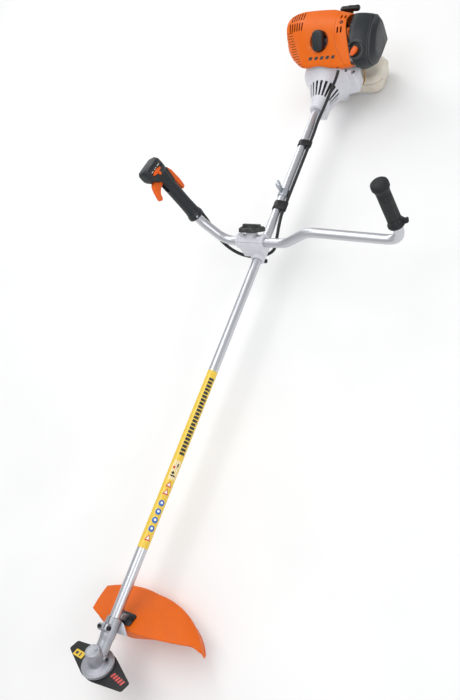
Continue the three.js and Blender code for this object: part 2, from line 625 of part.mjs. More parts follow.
function strap(x, width) {
  const [outer, small] = [TUBE_R + 2.6, CABLE_R + 2.4];
  const reach = Math.hypot(CABLE_Y, CABLE_Z);
  const lean = Math.acos((outer - small) / reach);
  const shape = new THREE.Shape();
  shape.absarc(0, 0, outer, lean, 2 * Math.PI - lean);
  shape.absarc(reach, 0, small, -lean, lean);
  shape.closePath();
  for (const [centre, radius] of [[0, TUBE_R + GAP], [reach, CABLE_R + GAP]]) {
    const hole = new THREE.Path();
    hole.absarc(centre, 0, radius, 0, Math.PI * 2);
    shape.holes.push(hole);
  }
  const turn = Math.atan2(CABLE_Z, CABLE_Y);
  return slab(shape, width, 0, 8).rotateZ(turn).rotateY(Math.PI / 2).rotateX(Math.PI / 2)
    .translate(x - width / 2, 0, 0);
}
add(machine, 'cable_strap_lower', strap(STRAP_LOW_X, 26), BLACK);
add(machine, 'cable_strap_upper', strap(STRAP_HIGH_X, 16), BLACK);

const EYE_HEIGHT = 44;
const EYE_BAND = 11;            // half the band's length
function carryingEye() {
  const band = rod(EYE_X - EYE_BAND, EYE_X + EYE_BAND, TUBE_R + 2.6, 18);
  const stem = block(EYE_X - 6, EYE_X + 6, -2, 2, TUBE_R, EYE_HEIGHT);
  const eye = across(-2, 2, 10, 16).translate(EYE_X, 0, EYE_HEIGHT);
  const ears = block(EYE_X - 8, EYE_X + 8, -5, 5, -TUBE_R - 12, -TUBE_R);
  const tube = rod(EYE_X - 30, EYE_X + 30, TUBE_R + GAP, 20);
  const hole = across(-9, 9, 5.5, 14).translate(EYE_X, 0, EYE_HEIGHT);
  const slit = block(EYE_X - 30, EYE_X + 30, -1, 1, -TUBE_R - 20, -TUBE_R + 2);
  const screw = across(-20, 20, 2.3, 8).translate(EYE_X, 0, -TUBE_R - 7);
  return cut(join(band, stem, eye, ears), tube, hole, slit, screw);
}
add(machine, 'carrying_eye', carryingEye(), STEEL);
add(machine, 'carrying_eye_screw', capScrew(2, 3.8, 3.6, 9.4).rotateX(Math.PI / 2)
  .translate(EYE_X, -5 - GAP, -TUBE_R - 7), STEEL);

// ---------- clutch and fan housing ----------
const FAN_WALL = 3.2;
function clutchHousing() {
  const outer = [
    [MOUTH_X, 20.5], [MOUTH_X + 10, 20.5], [MOUTH_X + 12, 20], [MOUTH_X + 30, 25.5], [MOUTH_X + 52, 35],
    [MOUTH_X + 74, 44], [MOUTH_X + 92, 53], [MOUTH_X + 102, 64], [MOUTH_X + 112, FAN_R], [FAN_REAR, FAN_R],
  ];
  const inner = [
    [FAN_REAR, FAN_R - FAN_WALL], [MOUTH_X + 118, FAN_R - FAN_WALL], [MOUTH_X + 107, 58],
    [MOUTH_X + 94, 44.5],
    [MOUTH_X + 74, DRUM_R], [MOUTH_X + 53, 26.5], [MOUTH_X + 34, 19], [MOUTH_X + 34, TUBE_R + GAP],
    [MOUTH_X, TUBE_R + GAP],
  ];
  const wing = slab(outline([[-52, 44], [-84, 36], [-93, 8], [-86, -42], [-52, -46]]), 34, 2, 2)
    .rotateY(Math.PI / 2).rotateX(Math.PI / 2).translate(FAN_REAR - 34, 0, 0);
  const keel = plateXZ([
    [MOUTH_X, -14], [1511, -20], [1521, -36], [1549, -34], [1639, -74], [1666, -111], [1684, -111], [1684, -90],
    [1671, -70], [1660, -50], [1600, -20],
  ], 40);
  const slots = [];
  const count = 8;
  for (let i = 0; i < count; i += 1) {
    slots.push(block(MOUTH_X + 38, MOUTH_X + 73, -2.1, 2.1, 17, 60)
      .rotateX((2 * Math.PI * (i + 0.5)) / count));
  }
  const chamber = rod(MOUTH_X + 92, FAN_REAR + 5, FAN_R - FAN_WALL - 4, 20);
  const inside = turned([...inner, [MOUTH_X - 20, TUBE_R + GAP], [MOUTH_X - 20, 0], [FAN_REAR + 30, 0],
    [FAN_REAR + 30, FAN_R - FAN_WALL]], 20);
  return cut(join(turned([...outer, ...inner], 20), cut(wing, chamber), cut(keel, inside)), ...slots);
}
add(machine, 'clutch_housing', clutchHousing(), HOUSING);

add(machine, 'clutch_drum', turned([
  [DRUM_X, SHAFT_R + GAP], [DRUM_X, DRUM_R - 1], [DRUM_X + 2, DRUM_R], [DRUM_X + DRUM_LENGTH, DRUM_R],
  [DRUM_X + DRUM_LENGTH, DRUM_R - 2.6], [DRUM_X + 3, DRUM_R - 2.6], [DRUM_X + 3, SHAFT_R + GAP],
], 16), STEEL);

const ROTOR_R = DRUM_R - 4;
const ROTOR_X = DRUM_X + 6;
const ROTOR_LENGTH = 16;
function clutchRotor() {
  const shoes = ring(ROTOR_X, ROTOR_X + ROTOR_LENGTH, ROTOR_R, 19, 16);
  const gap = block(ROTOR_X - 5, ROTOR_X + 40, -3, 3, 20, 60);
  const hub = ring(ROTOR_X, ROTOR_X + ROTOR_LENGTH, 14, CRANK_R + GAP, 16);
  const arm = block(ROTOR_X + 3, ROTOR_X + ROTOR_LENGTH - 3, -24, 24, -5, 5);
  const bore = rod(ROTOR_X - 5, ROTOR_X + 40, CRANK_R + GAP, 16);
  return cut(join(shoes, hub, arm), bore, gap, gap.clone().rotateX(Math.PI));
}
add(machine, 'clutch_rotor', clutchRotor(), STEEL);

const WHEEL_X = DRUM_X + DRUM_LENGTH + 12;
const WHEEL_R = FAN_R - FAN_WALL - 8;
function flywheel() {
  const disc = turned([
    [WHEEL_X + 8, CRANK_R + GAP], [WHEEL_X + 8, WHEEL_R - 8], [WHEEL_X + 20, WHEEL_R - 8],
    [WHEEL_X + 20, CRANK_R + GAP],
  ], 20);
  const vanes = Array.from({ length: 10 }, (_, i) => block(WHEEL_X, WHEEL_X + 9, -1.2, 1.2, 24, WHEEL_R - 9)
    .rotateX((2 * Math.PI * i) / 10));
  return join(disc, ...vanes);
}
add(machine, 'flywheel', flywheel(), CASTING);

// ---------- crankcase, crankshaft, piston and cylinder ----------
const WEB_R = 27;
const ROD_WIDTH = 8;
const WEB_INNER = ROD_WIDTH / 2 + 1.5;
const WEB_OUTER = WEB_INNER + 8;
const CASE_TOP = CYL_BASE - GAP;
const CASE_HALF = WEB_R + 9;
const CASE_FOOT = TANK_TOP + GAP;

function crankcase() {
  const body = pillow(CASE_REAR - CASE_FRONT, 2 * CASE_HALF, CASE_TOP + CASE_HALF, 6, 3)
    .translate((CASE_REAR + CASE_FRONT) / 2, 0, (CASE_TOP - CASE_HALF) / 2);
  const foot = block(CASE_FRONT + 12, CASE_REAR - 12, -CASE_HALF + 8, CASE_HALF - 8,
    CASE_FOOT, -CASE_HALF + 8);
  const room = rod(CYL_X - WEB_OUTER - 3, CYL_X + WEB_OUTER + 3, WEB_R + 2, 16);
  const bore = rod(CASE_FRONT - 10, CASE_REAR + 10, CRANK_R + RUN, 16);
  const top = rod(0, CASE_TOP + 10, BORE_R, 20, 'z').translate(CYL_X, 0, 0);
  return cut(join(body, foot), room, bore, top);
}
add(machine, 'crankcase', crankcase(), CASTING);

function crankshaft() {
  const front = rod(ROTOR_X + 1, CYL_X - WEB_INNER - 1, CRANK_R, 20);
  const rear = rod(CYL_X + WEB_INNER + 1, CRANK_END, CRANK_R, 20);
  const webs = [[-WEB_OUTER, -WEB_INNER], [WEB_INNER, WEB_OUTER]]
    .map(([x0, x1]) => rod(CYL_X + x0, CYL_X + x1, WEB_R, 16));
  const pin = rod(CYL_X - WEB_INNER - 1, CYL_X + WEB_INNER + 1, 6, 16).translate(0, 0, -THROW);
  return join(front, rear, ...webs, pin);
}
add(machine, 'crankshaft', crankshaft(), STEEL);

const PISTON_LOW = 36;          // bottom of the skirt, at the bottom of the stroke
const PISTON_HEIGHT = 28;
const PIN_Z = PISTON_LOW + 13;
function piston() {
  const body = rod(PISTON_LOW, PISTON_LOW + PISTON_HEIGHT, BORE_R - 0.4, 20, 'z');
  const hollow = rod(PISTON_LOW - 1, PISTON_LOW + PISTON_HEIGHT - 5, BORE_R - 3.5, 20, 'z');
  const bosses = across(-BORE_R + 2, BORE_R - 2, 6, 20).translate(0, 0, PIN_Z);
  const slot = block(-ROD_WIDTH / 2 - 12, ROD_WIDTH / 2 + 12, -ROD_WIDTH / 2 - 1.5, ROD_WIDTH / 2 + 1.5,
    PISTON_LOW - 1, PISTON_LOW + PISTON_HEIGHT - 5);
  return cut(join(cut(body, hollow), common(bosses, body)), slot).rotateZ(Math.PI / 2).translate(CYL_X, 0, 0);
}
add(machine, 'piston', piston(), CASTING);
// The rod's big end is left open above the circle that the crank pin sweeps.
const ROD_LOW = THROW + 6 + 1.2;
function connectingRod() {
  const eye = rod(-ROD_WIDTH / 2, ROD_WIDTH / 2, 7.4, 16).translate(0, 0, PIN_Z);
  const shank = block(-ROD_WIDTH / 2, ROD_WIDTH / 2, -4, 4, ROD_LOW, PIN_Z - 4);
  const fork = block(-ROD_WIDTH / 2, ROD_WIDTH / 2, -8, 8, ROD_LOW, ROD_LOW + 5);
  return join(eye, shank, fork).translate(CYL_X, 0, 0);
}
add(machine, 'connecting_rod', connectingRod(), STEEL);

const PLUG_TILT = 45;
const PLUG_SEAT = [CYL_X - 42, 123];   // where the plug's axis meets the shroud's sloping face
const along = (shape) => shape.rotateY(rad(-PLUG_TILT)).translate(PLUG_SEAT[0], 0, PLUG_SEAT[1]);
const PLUG_SINK = 21.2;                // how far the plug's hexagon sits below the seat
const FINS = 4;
function cylinder() {
  const profile = [[CYL_BASE, BORE_R + GAP], [CYL_BASE, 31], [CYL_BASE + 5, 31], [CYL_BASE + 5, 26]];
  const pitch = (CYL_TOP - CYL_BASE - 14) / FINS;
  for (let i = 0; i < FINS; i += 1) {
    const z = CYL_BASE + 10 + i * pitch;
    profile.push([z, 26], [z, 38], [z + 2.4, 38], [z + 2.4, 26]);
  }
  profile.push([CYL_TOP, 26], [CYL_TOP, 0], [CYL_TOP - 8, 0], [CYL_TOP - 8, BORE_R + GAP]);
  const body = turned(profile, 16, 'z').translate(CYL_X, 0, 0);
  return cut(body, along(rod(-45, 20, 6.3, 12, 'z')), along(rod(-PLUG_SINK - 4.3, 40, 10.5, 12, 'z')));
}
add(machine, 'cylinder', cylinder(), CASTING);

// The plug's thread ends in the corner of the bore, above the highest place of the piston.
function sparkPlug() {
  const [radius, hex] = [5.9, 8.5];
  const low = -PLUG_SINK - 13;
  return along(turned([
    [low, 0], [low, radius], [-PLUG_SINK - 4, radius], [-PLUG_SINK - 4, hex], [-PLUG_SINK + 6, hex],
    [-PLUG_SINK + 6, radius], [-PLUG_SINK + 16, 5], [-PLUG_SINK + 16, 0],
  ], 16, 'z'));
}
add(machine, 'spark_plug', sparkPlug(), STEEL);

const BOOT_LENGTH = 56;
const BOOT_WIDTH = 33;
const BOOT_DEPTH = 22;
function plugBoot() {
  const body = pillow(BOOT_LENGTH, BOOT_WIDTH, BOOT_DEPTH, 13, 5).translate(0, 0, -2);
  const socket = rod(-40, -4, 6.4, 16, 'z');
  return along(cut(body, socket));
}
add(machine, 'spark_plug_boot', plugBoot(), SLATE);

// ---------- shroud, side panel and filter cover ----------
// One family of outlines, in X and Z, runs from the muffler side to the filter cover.
const SHROUD_REAR = STARTER_X - 1;
const SHROUD_OUTLINE = [
  [1648, SHROUD_BOTTOM], [1624, 52], [1606, 68], [1607, 76], [1632, 99], [1660, 124], [1684, 141],
  [1712, 149], [1738, 149], [SHROUD_REAR - 5, 140], [SHROUD_REAR, 116], [SHROUD_REAR, SHROUD_BOTTOM],
];
const COVER_OUTLINE = [
  [1664, COVER_BOTTOM], [1634, 28], [1620, 54], [1622, 72], [1644, 96], [1668, 114], [1694, 124],
  [1722, 128], [1750, 126], [1764, 112], [1768, 84], [1764, COVER_BOTTOM],
];

// Stations are [y, share of the length, share of the height, shift along X, inset]; the outline
// shrinks about the middle that is given.
// The low part of the front can be kept fuller than the rest.
function hood(points, middle, stations, full = 0) {
  return loft(stations.map(([y, length, height, shift, inset]) => points.map(([x, z]) => {
    const low = x < middle[0] ? full * THREE.MathUtils.clamp((100 - z) / 40, 0, 1) : 0;
    const reach = length + (1 - length) * low;
    const away = new THREE.Vector2((x - middle[0]) * reach, (z - middle[1]) * height);
    away.setLength(Math.max(1, away.length() - inset));
    return new THREE.Vector3(middle[0] + away.x + shift, y, middle[1] + away.y);
  })));
}

const SHROUD_MIDDLE = [1722, 76];
const OUTLET = { radius: 6, y: 90, z: 84, reach: [CYL_X + 36, CYL_X + 70] };   // exhaust
const fanClearance = () => rod(MOUTH_X, FAN_REAR + 2, FAN_R + GAP + 1.2, 20);
const lowerHollow = (y0, y1) => block(1620, 1751, y0, y1, SHROUD_BOTTOM - 40, SHROUD_BOTTOM + 34);

function engineShroud() {
  const side = SHROUD_SIDE;
  const stations = [
    [SEAM_Y, 1, 1, 0], [side - 72, 1, 1, 10], [side - 38, 0.78, 0.97, 12], [side - 16, 0.56, 0.9, 8],
    [side - 5, 0.42, 0.78, 4], [side, 0.3, 0.62, 0],
  ];
  const seat = (x) => block(x, x + 60, SEAM_Y - 10, STARTER_R + 6, -50, 250);
  const skin = hood(SHROUD_OUTLINE, SHROUD_MIDDLE, stations.map((station) => [...station, 0]), 0.5);
  const outer = cut(skin, seat(SHROUD_REAR));
  const insides = stations.map(([y, length, height, shift], i) => [
    i === 0 ? y - 5 : y - i * 0.8, length, height, shift, SHROUD_WALL]);
  const hollow = cut(hood(SHROUD_OUTLINE, SHROUD_MIDDLE, insides, 0.5), seat(SHROUD_REAR - SHROUD_WALL));
  const hole = along(rod(-30, 40, 30, 16, 'z'));
  const starterHole = rod(1740, 1760, 30, 20);
  const cableNotch = rod(1590, 1660, CABLE_R + 2.5, 12).translate(0, -58, 66);
  const outlet = rod(...OUTLET.reach, OUTLET.radius + 2, 12).translate(0, OUTLET.y, OUTLET.z);
  const openings = [hole, starterHole, cableNotch, outlet, lowerHollow(SEAM_Y - 5, side - 50)];
  return cut(outer, hollow, fanClearance(), ...openings);
}
add(machine, 'engine_shroud', engineShroud(), ORANGE);

function sidePanel() {
  const stations = [[SEAM_Y - GAP, 1, 1, 0], [PANEL_Y + 8, 0.985, 0.95, 0], [PANEL_Y, 0.96, 0.92, 0]];
  const outer = hood(SHROUD_OUTLINE, SHROUD_MIDDLE, stations.map((station) => [...station, 0]));
  const hollow = hood(SHROUD_OUTLINE, SHROUD_MIDDLE,
    [[SEAM_Y + 5, 1, 1, 0, SHROUD_WALL], [PANEL_Y - 5, 0.95, 0.9, 0, SHROUD_WALL]]);
  const wing = block(FAN_REAR - 60, FAN_REAR + 3, -130, -30, -60, 46);
  return cut(outer, hollow, fanClearance(), wing, lowerHollow(PANEL_Y - 5, SEAM_Y + 5));
}
add(machine, 'shroud_side_panel', sidePanel(), ORANGE);

const COVER_MIDDLE = [1700, 60];
const CHOKE = [1642, -106, 96]; // on the cover's sloping front
const facing = (shape) => shape.rotateY(-Math.PI / 4).translate(...CHOKE);
function filterCover() {
  const y = COVER_Y;
  const stations = [
    [PANEL_Y - GAP, 1, 1, 0], [y + 34, 0.95, 0.94, 2], [y + 14, 0.84, 0.8, 6], [y + 5, 0.74, 0.7, 11],
    [y, 0.6, 0.58, 14],
  ];
  const outer = hood(COVER_OUTLINE, COVER_MIDDLE, stations.map((station) => [...station, 0]));
  const insides = stations.map(([at, length, height, shift], i) => [
    i === 0 ? at + 5 : at + i * 0.8, length, height, shift, SHROUD_WALL]);
  const hollow = hood(COVER_OUTLINE, COVER_MIDDLE, insides);
  const wing = block(FAN_REAR - 60, FAN_REAR + 3, -110, -30, -60, 46);
  const hole = facing(rod(-20, 0, 4, 16, 'z'));
  const recess = facing(rod(-7, 30, 15, 16, 'z'));
  const cup = common(facing(rod(-10, 10, 18, 16, 'z')), outer);
  return cut(join(cut(outer, hollow), cup), wing, recess, hole);
}
add(machine, 'air_filter_cover', filterCover(), SLATE);

function chokeLever() {
  const disc = rod(-6.6, -1.4, 8, 18, 'z');
  const tab = block(4, 13, -4, 4, -6, 2);
  const stem = rod(-17, -5, 3.6, 14, 'z');
  return facing(join(disc, tab, stem));
}
add(machine, 'choke_lever', chokeLever(), ORANGE);

function filterElement() {
  const pleats = 10;
  const [x0, x1, z0, z1] = [1674, 1738, 34, 96];
  const step = (x1 - x0) / pleats;
  const shape = [[x0, -98], [x1, -98]];
  for (let i = pleats; i > 0; i -= 1) shape.push([x0 + i * step, -120], [x0 + (i - 0.5) * step, -112]);
  shape.push([x0, -120]);
  return slab(outline(shape), z1 - z0).translate(0, 0, z0);
}
add(machine, 'air_filter_element', filterElement(), PAPER);

function carburettor() {
  const body = pillow(38, 28, 36, 4, 2).translate(CYL_X, -66, 70);
  const flange = across(39, 53, 9, 18).rotateZ(Math.PI).translate(CYL_X, 0, 70);
  const throat = across(79, 90, 12, 18).rotateZ(Math.PI).translate(CYL_X, 0, 70);
  return cut(join(body, flange, throat), across(-100, -60, 7, 16).translate(CYL_X, 0, 70));
}
add(machine, 'carburettor', carburettor(), CASTING);

function muffler() {
  const box = pillow(50, 48, 58, 12, 6).translate(CYL_X + 18, 76, 66);
  const inlet = across(39.5, 56, 10, 18).translate(CYL_X, 0, 70);
  const outlet = rod(CYL_X + 30, CYL_X + 49, OUTLET.radius, 12).translate(0, OUTLET.y, OUTLET.z);
  const bore = rod(CYL_X + 38, CYL_X + 52, OUTLET.radius - 1.6, 12).translate(0, OUTLET.y, OUTLET.z);
  return cut(join(box, inlet, outlet), across(30, 70, 7, 16).translate(CYL_X, 0, 70), bore);
}
add(machine, 'muffler', muffler(), CASTING);

// ---------- starter ----------
const GRIP_PLACE = [STARTER_X + 18, -60];
const GRIP_Z = 106;             // top of the tower that the rope comes out of
const ROPE_LEAN = 6;
function starterHousing() {
  const shell = turned([
    [STARTER_X, STARTER_R], [STARTER_X + 14, STARTER_R], [STARTER_X + STARTER_DEPTH - 8, STARTER_R - 8],
    [STARTER_X + STARTER_DEPTH, STARTER_R - 20], [STARTER_X + STARTER_DEPTH, 0],
    [STARTER_X + STARTER_DEPTH - 3, 0], [STARTER_X + STARTER_DEPTH - 3, STARTER_R - 22],
    [STARTER_X + STARTER_DEPTH - 11, STARTER_R - 11], [STARTER_X + 12, STARTER_R - 3],
    [STARTER_X, STARTER_R - 3],
  ], 20);
  const tower = pillow(26, 26, GRIP_Z + 12, 8, 3).translate(STARTER_X + 20, GRIP_PLACE[1], GRIP_Z / 2 - 6);
  const vents = Array.from({ length: 6 }, (_, i) => block(STARTER_X + 20, STARTER_X + 60, -2.5, 2.5, 14, 30)
    .rotateX((2 * Math.PI * (i + 0.5)) / 6));
  const room = turned([
    [STARTER_X - 5, 0], [STARTER_X - 5, STARTER_R - 3.2], [STARTER_X + 12, STARTER_R - 3.2],
    [STARTER_X + 27, STARTER_R - 11.2], [STARTER_X + 27, 0],
  ], 20);
  const behind = block(STARTER_X - 30, STARTER_X, -100, 100, -100, 120);
  return cut(join(shell, cut(tower, room)), ...vents, behind);
}
add(machine, 'starter_housing', starterHousing(), SLATE);

const starterHandle = new THREE.Group();
starterHandle.position.set(GRIP_PLACE[0] - 1, GRIP_PLACE[1], GRIP_Z + GAP);
starterHandle.rotation.y = rad(ROPE_LEAN);
machine.add(starterHandle);
const starterBar = join(
  pillow(56, 17, 15, 7, 4).rotateZ(Math.PI / 2).translate(0, 0, 15),
  turned([[0.6, 0], [0.6, 6], [9, 8], [9, 0]], 12, 'z'),
);
add(starterHandle, 'starter_grip', starterBar.translate(0, 0, 1.2), BLACK);

// ---------- fuel tank and foot ----------
function fuelTank() {
  const [length, width] = [TANK_REAR - TANK_FRONT, TANK_RIGHT - TANK_LEFT];
  const height = TANK_TOP - FLOOR - FOOT_THICK - GAP;
  const body = pillow(length, width, height, 32, 9)
    .translate((TANK_FRONT + TANK_REAR) / 2, (TANK_LEFT + TANK_RIGHT) / 2, TANK_TOP - height / 2);
  const seam = pillow(length + 6, width + 6, 4, 34, 1)
    .translate((TANK_FRONT + TANK_REAR) / 2, (TANK_LEFT + TANK_RIGHT) / 2, TANK_TOP - 24);
  const neck = across(TANK_RIGHT - 20, TANK_RIGHT + 8, 17, 16).translate(FOOT_X, 0, TANK_TOP - height / 2);
  return join(body, seam, neck);
}
add(machine, 'fuel_tank', fuelTank(), TANK);

function fuelCap() {
  const shape = new THREE.Shape();
  shape.absarc(0, 0, 21, 0, Math.PI * 2);
  const grip = pillow(34, 8, 7, 3, 2).translate(0, 0, 13);
  return join(slab(shape, 11, 2, 8), grip).rotateX(-Math.PI / 2)
    .translate(FOOT_X, TANK_RIGHT + 8 + GAP, (TANK_TOP + FLOOR + FOOT_THICK + GAP) / 2);
}
add(machine, 'fuel_cap', fuelCap(), SLATE);

add(machine, 'support_foot', pillow(FOOT_LENGTH, FOOT_WIDTH, FOOT_THICK, 14, 1.5)
  .translate(FOOT_X, (TANK_LEFT + TANK_RIGHT) / 2, FLOOR + FOOT_THICK / 2), SLATE);

// ---------- guard fixing ----------
const BRACKET_TOP = GUARD_TOP + GAP + 3;
function guardBracket() {
  const [start, end] = [CLAMP_END + 1, CLAMP_END + 15];
  const plate = block(84, 118, -30, 30, GUARD_TOP + GAP, BRACKET_TOP).rotateY(rad(HEAD_ANGLE));
  const under = block(-100, 200, -60, 60, -200, GUARD_TOP + GAP).rotateY(rad(HEAD_ANGLE));
  const collar = rod(start, end, TUBE_R + 4, 16);
  const web = block(start, end, -14, 14, -36, -8);
  const bore = rod(0, 200, TUBE_R + GAP, 20);
  return cut(join(plate, cut(web, under), collar), bore, ...GUARD_SCREWS.map(guardHole));
}
add(machine, 'guard_bracket', guardBracket(), BLACK);
for (const [x, y] of GUARD_SCREWS) {
  add(head, y < 0 ? 'guard_screw_left' : 'guard_screw_right',
    capScrew(2.5, 4.6, 4, 10).translate(x, y, BRACKET_TOP + GAP), STEEL);
}

export default machine;
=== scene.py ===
# Petrol brush mower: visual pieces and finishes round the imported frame.
# Pieces are made in millimetres in the frame of the part that they belong to, then put in place.
import math

import bmesh
import bpy
from mathutils import Matrix, Vector
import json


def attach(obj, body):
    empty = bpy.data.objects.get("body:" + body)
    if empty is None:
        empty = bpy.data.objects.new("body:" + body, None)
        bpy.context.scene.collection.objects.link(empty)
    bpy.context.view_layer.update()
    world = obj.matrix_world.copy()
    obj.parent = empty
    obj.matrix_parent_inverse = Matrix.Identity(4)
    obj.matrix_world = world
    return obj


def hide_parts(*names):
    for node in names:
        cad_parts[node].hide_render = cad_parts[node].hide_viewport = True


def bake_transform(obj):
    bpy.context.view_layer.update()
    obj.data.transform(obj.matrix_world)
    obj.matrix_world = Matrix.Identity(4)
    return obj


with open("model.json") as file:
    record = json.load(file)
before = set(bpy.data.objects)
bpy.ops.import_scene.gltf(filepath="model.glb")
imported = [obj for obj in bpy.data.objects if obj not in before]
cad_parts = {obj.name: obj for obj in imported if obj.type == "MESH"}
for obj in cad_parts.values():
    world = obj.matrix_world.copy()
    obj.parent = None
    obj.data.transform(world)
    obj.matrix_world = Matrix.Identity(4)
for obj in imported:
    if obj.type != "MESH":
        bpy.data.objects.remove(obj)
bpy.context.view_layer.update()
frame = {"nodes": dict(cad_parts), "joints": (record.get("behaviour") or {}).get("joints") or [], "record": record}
MM = 0.001
JOINTS = {joint["name"]: joint for joint in frame["joints"]}


# ---------- frames ----------
def turned_about(axis, degrees):
    return Matrix.Rotation(math.radians(degrees), 4, axis)


def shifted(x, y, z):
    return Matrix.Translation((x, y, z))


APEX = JOINTS["blade_spin"]["pos_m"]        # where the tube's axis meets the output axis
HEAD_LEAN = 29.2
BAR_LEAN = 10                               # degrees
HOLD_LEAN = 46
BAR_X, BAR_Z, HOLD_Y = 1043, 42, 8
LEFT_FOOT, LEFT_LEAN = (-390, 76), 8.1
RIGHT_FOOT, RIGHT_LEAN = (141, 78), 20.1
STARTER_PLACE = (1772, -60, 106.3)
BORE_R = 12.3                               # of the holes that the tube and the bar pass through

MACHINE = shifted(*APEX) @ Matrix.Scale(MM, 4)
HEAD = MACHINE @ turned_about("Y", HEAD_LEAN)
BAR = MACHINE @ shifted(BAR_X, 0, BAR_Z) @ turned_about("Y", BAR_LEAN)
HOLD = MACHINE @ shifted(BAR_X, HOLD_Y, BAR_Z) @ turned_about("Y", HOLD_LEAN)
LEFT_HAND = BAR @ shifted(0, *LEFT_FOOT) @ turned_about("X", -LEFT_LEAN)
RIGHT_HAND = BAR @ shifted(0, *RIGHT_FOOT) @ turned_about("X", -RIGHT_LEAN)
PLUG = MACHINE @ shifted(1658, 0, 123) @ turned_about("Y", -45)
STARTER = MACHINE @ shifted(*STARTER_PLACE) @ turned_about("Y", 6)
CHOKE = shifted(1642, -106, 96) @ turned_about("Y", -45)
ALONG_X = turned_about("Y", 90)             # turns a shape made along Z to lie along X
ALONG_Y = turned_about("X", -90)


# ---------- materials ----------
def srgb(code):
    channels = [int(code[i:i + 2], 16) / 255 for i in (1, 3, 5)]
    linear = [c / 12.92 if c <= 0.04045 else ((c + 0.055) / 1.055) ** 2.4 for c in channels]
    return (*linear, 1.0)


def node(tree, kind, values=None, links=None, stops=(), **settings):
    """Adds a node with its settings, the values and links of its inputs, and a ramp's colour stops."""
    made = tree.nodes.new(kind)
    for name, value in settings.items():
        setattr(made, name, value)
    for socket, value in (values or {}).items():
        made.inputs[socket].default_value = value
    for socket, source in (links or {}).items():
        tree.links.new(source, made.inputs[socket])
    if stops:
        elements = made.color_ramp.elements
        elements[0].position, elements[0].color = stops[0]
        elements[1].position, elements[1].color = stops[-1]
        for position, colour in stops[1:-1]:
            elements.new(position).color = colour
    return made


def blank(name, **shader):
    made = bpy.data.materials.new(name)
    made.use_nodes = True
    tree = made.node_tree
    tree.nodes.clear()
    surface = node(tree, "ShaderNodeBsdfPrincipled")
    for socket, value in shader.items():
        surface.inputs[socket.replace("_", " ")].default_value = value
    node(tree, "ShaderNodeOutputMaterial", links={"Surface": surface.outputs["BSDF"]})
    place = node(tree, "ShaderNodeTexCoord")
    return made, tree, surface, place


def per_metre(size_mm):
    return 1000 / size_mm


EDGE_HIGHLIGHT_GREY = (0.32, 0.32, 0.32, 1)           # painted highlight: screened over the tone along convex edges


def moulded(name, light, dark, grain_mm, grain_depth_mm, rough, cloud_mm=30, **shader):
    """Injection-moulded or cast surface: cloudy tone, spark-eroded grain, and a painted highlight that pales the
    convex edges.
    """
    made, tree, surface, place = blank(name, **shader)
    cloud = node(tree, "ShaderNodeTexNoise", {"Scale": per_metre(cloud_mm), "Detail": 3.0, "Roughness": 0.6},
                 {"Vector": place.outputs["Object"]})
    tone = node(tree, "ShaderNodeValToRGB", links={"Fac": cloud.outputs["Fac"]},
                stops=[(0.2, srgb(dark)), (0.8, srgb(light))])
    form = node(tree, "ShaderNodeNewGeometry")
    # pointiness lifts convex edges towards pale grey: a painted highlight, not wear
    edge = node(tree, "ShaderNodeMapRange", {"From Min": 0.53, "From Max": 0.62, "To Max": 0.1},
                {"Value": form.outputs["Pointiness"]})
    edge_highlight = node(tree, "ShaderNodeMix", {"B": EDGE_HIGHLIGHT_GREY},
                {"Factor": edge.outputs["Result"], "A": tone.outputs["Color"]}, data_type="RGBA",
                blend_type="SCREEN")
    tree.links.new(edge_highlight.outputs["Result"], surface.inputs["Base Color"])
    grain = node(tree, "ShaderNodeTexNoise", {"Scale": per_metre(grain_mm), "Detail": 2.0},
                 {"Vector": place.outputs["Object"]})
    gloss = node(tree, "ShaderNodeMapRange",
                 {"From Min": 0.3, "From Max": 0.7, "To Min": rough[0], "To Max": rough[1]},
                 {"Value": cloud.outputs["Fac"]})
    tree.links.new(gloss.outputs["Result"], surface.inputs["Roughness"])
    bump = node(tree, "ShaderNodeBump", {"Strength": 0.5, "Distance": grain_depth_mm * MM},
                {"Height": grain.outputs["Fac"]})
    tree.links.new(bump.outputs["Normal"], surface.inputs["Normal"])
    return made


def drawn_metal(name, light, dark, along, streak_mm, rough):
    """Metal drawn or turned: fine lines that run along the given axis of the machine."""
    made, tree, surface, place = blank(name, Metallic=1.0)
    squeeze = [1.0, 1.0, 1.0]
    squeeze["XYZ".index(along)] = 0.02
    lined = node(tree, "ShaderNodeMapping", {"Scale": squeeze}, {"Vector": place.outputs["Object"]})
    lines = node(tree, "ShaderNodeTexNoise",
                 {"Scale": per_metre(streak_mm), "Detail": 4.0, "Roughness": 0.65},
                 {"Vector": lined.outputs["Vector"]})
    cloud = node(tree, "ShaderNodeTexNoise", {"Scale": per_metre(60), "Detail": 2.0},
                 {"Vector": place.outputs["Object"]})
    tone = node(tree, "ShaderNodeValToRGB", links={"Fac": lines.outputs["Fac"]},
                stops=[(0.3, srgb(dark)), (0.68, srgb(light))])
    tree.links.new(tone.outputs["Color"], surface.inputs["Base Color"])
    gloss = node(tree, "ShaderNodeMapRange",
                 {"From Min": 0.3, "From Max": 0.7, "To Min": rough[0], "To Max": rough[1]},
                 {"Value": cloud.outputs["Fac"]})
    tree.links.new(gloss.outputs["Result"], surface.inputs["Roughness"])
    bump = node(tree, "ShaderNodeBump", {"Strength": 0.05, "Distance": 0.01 * MM},
                {"Height": lines.outputs["Fac"]})
    tree.links.new(bump.outputs["Normal"], surface.inputs["Normal"])
    return made


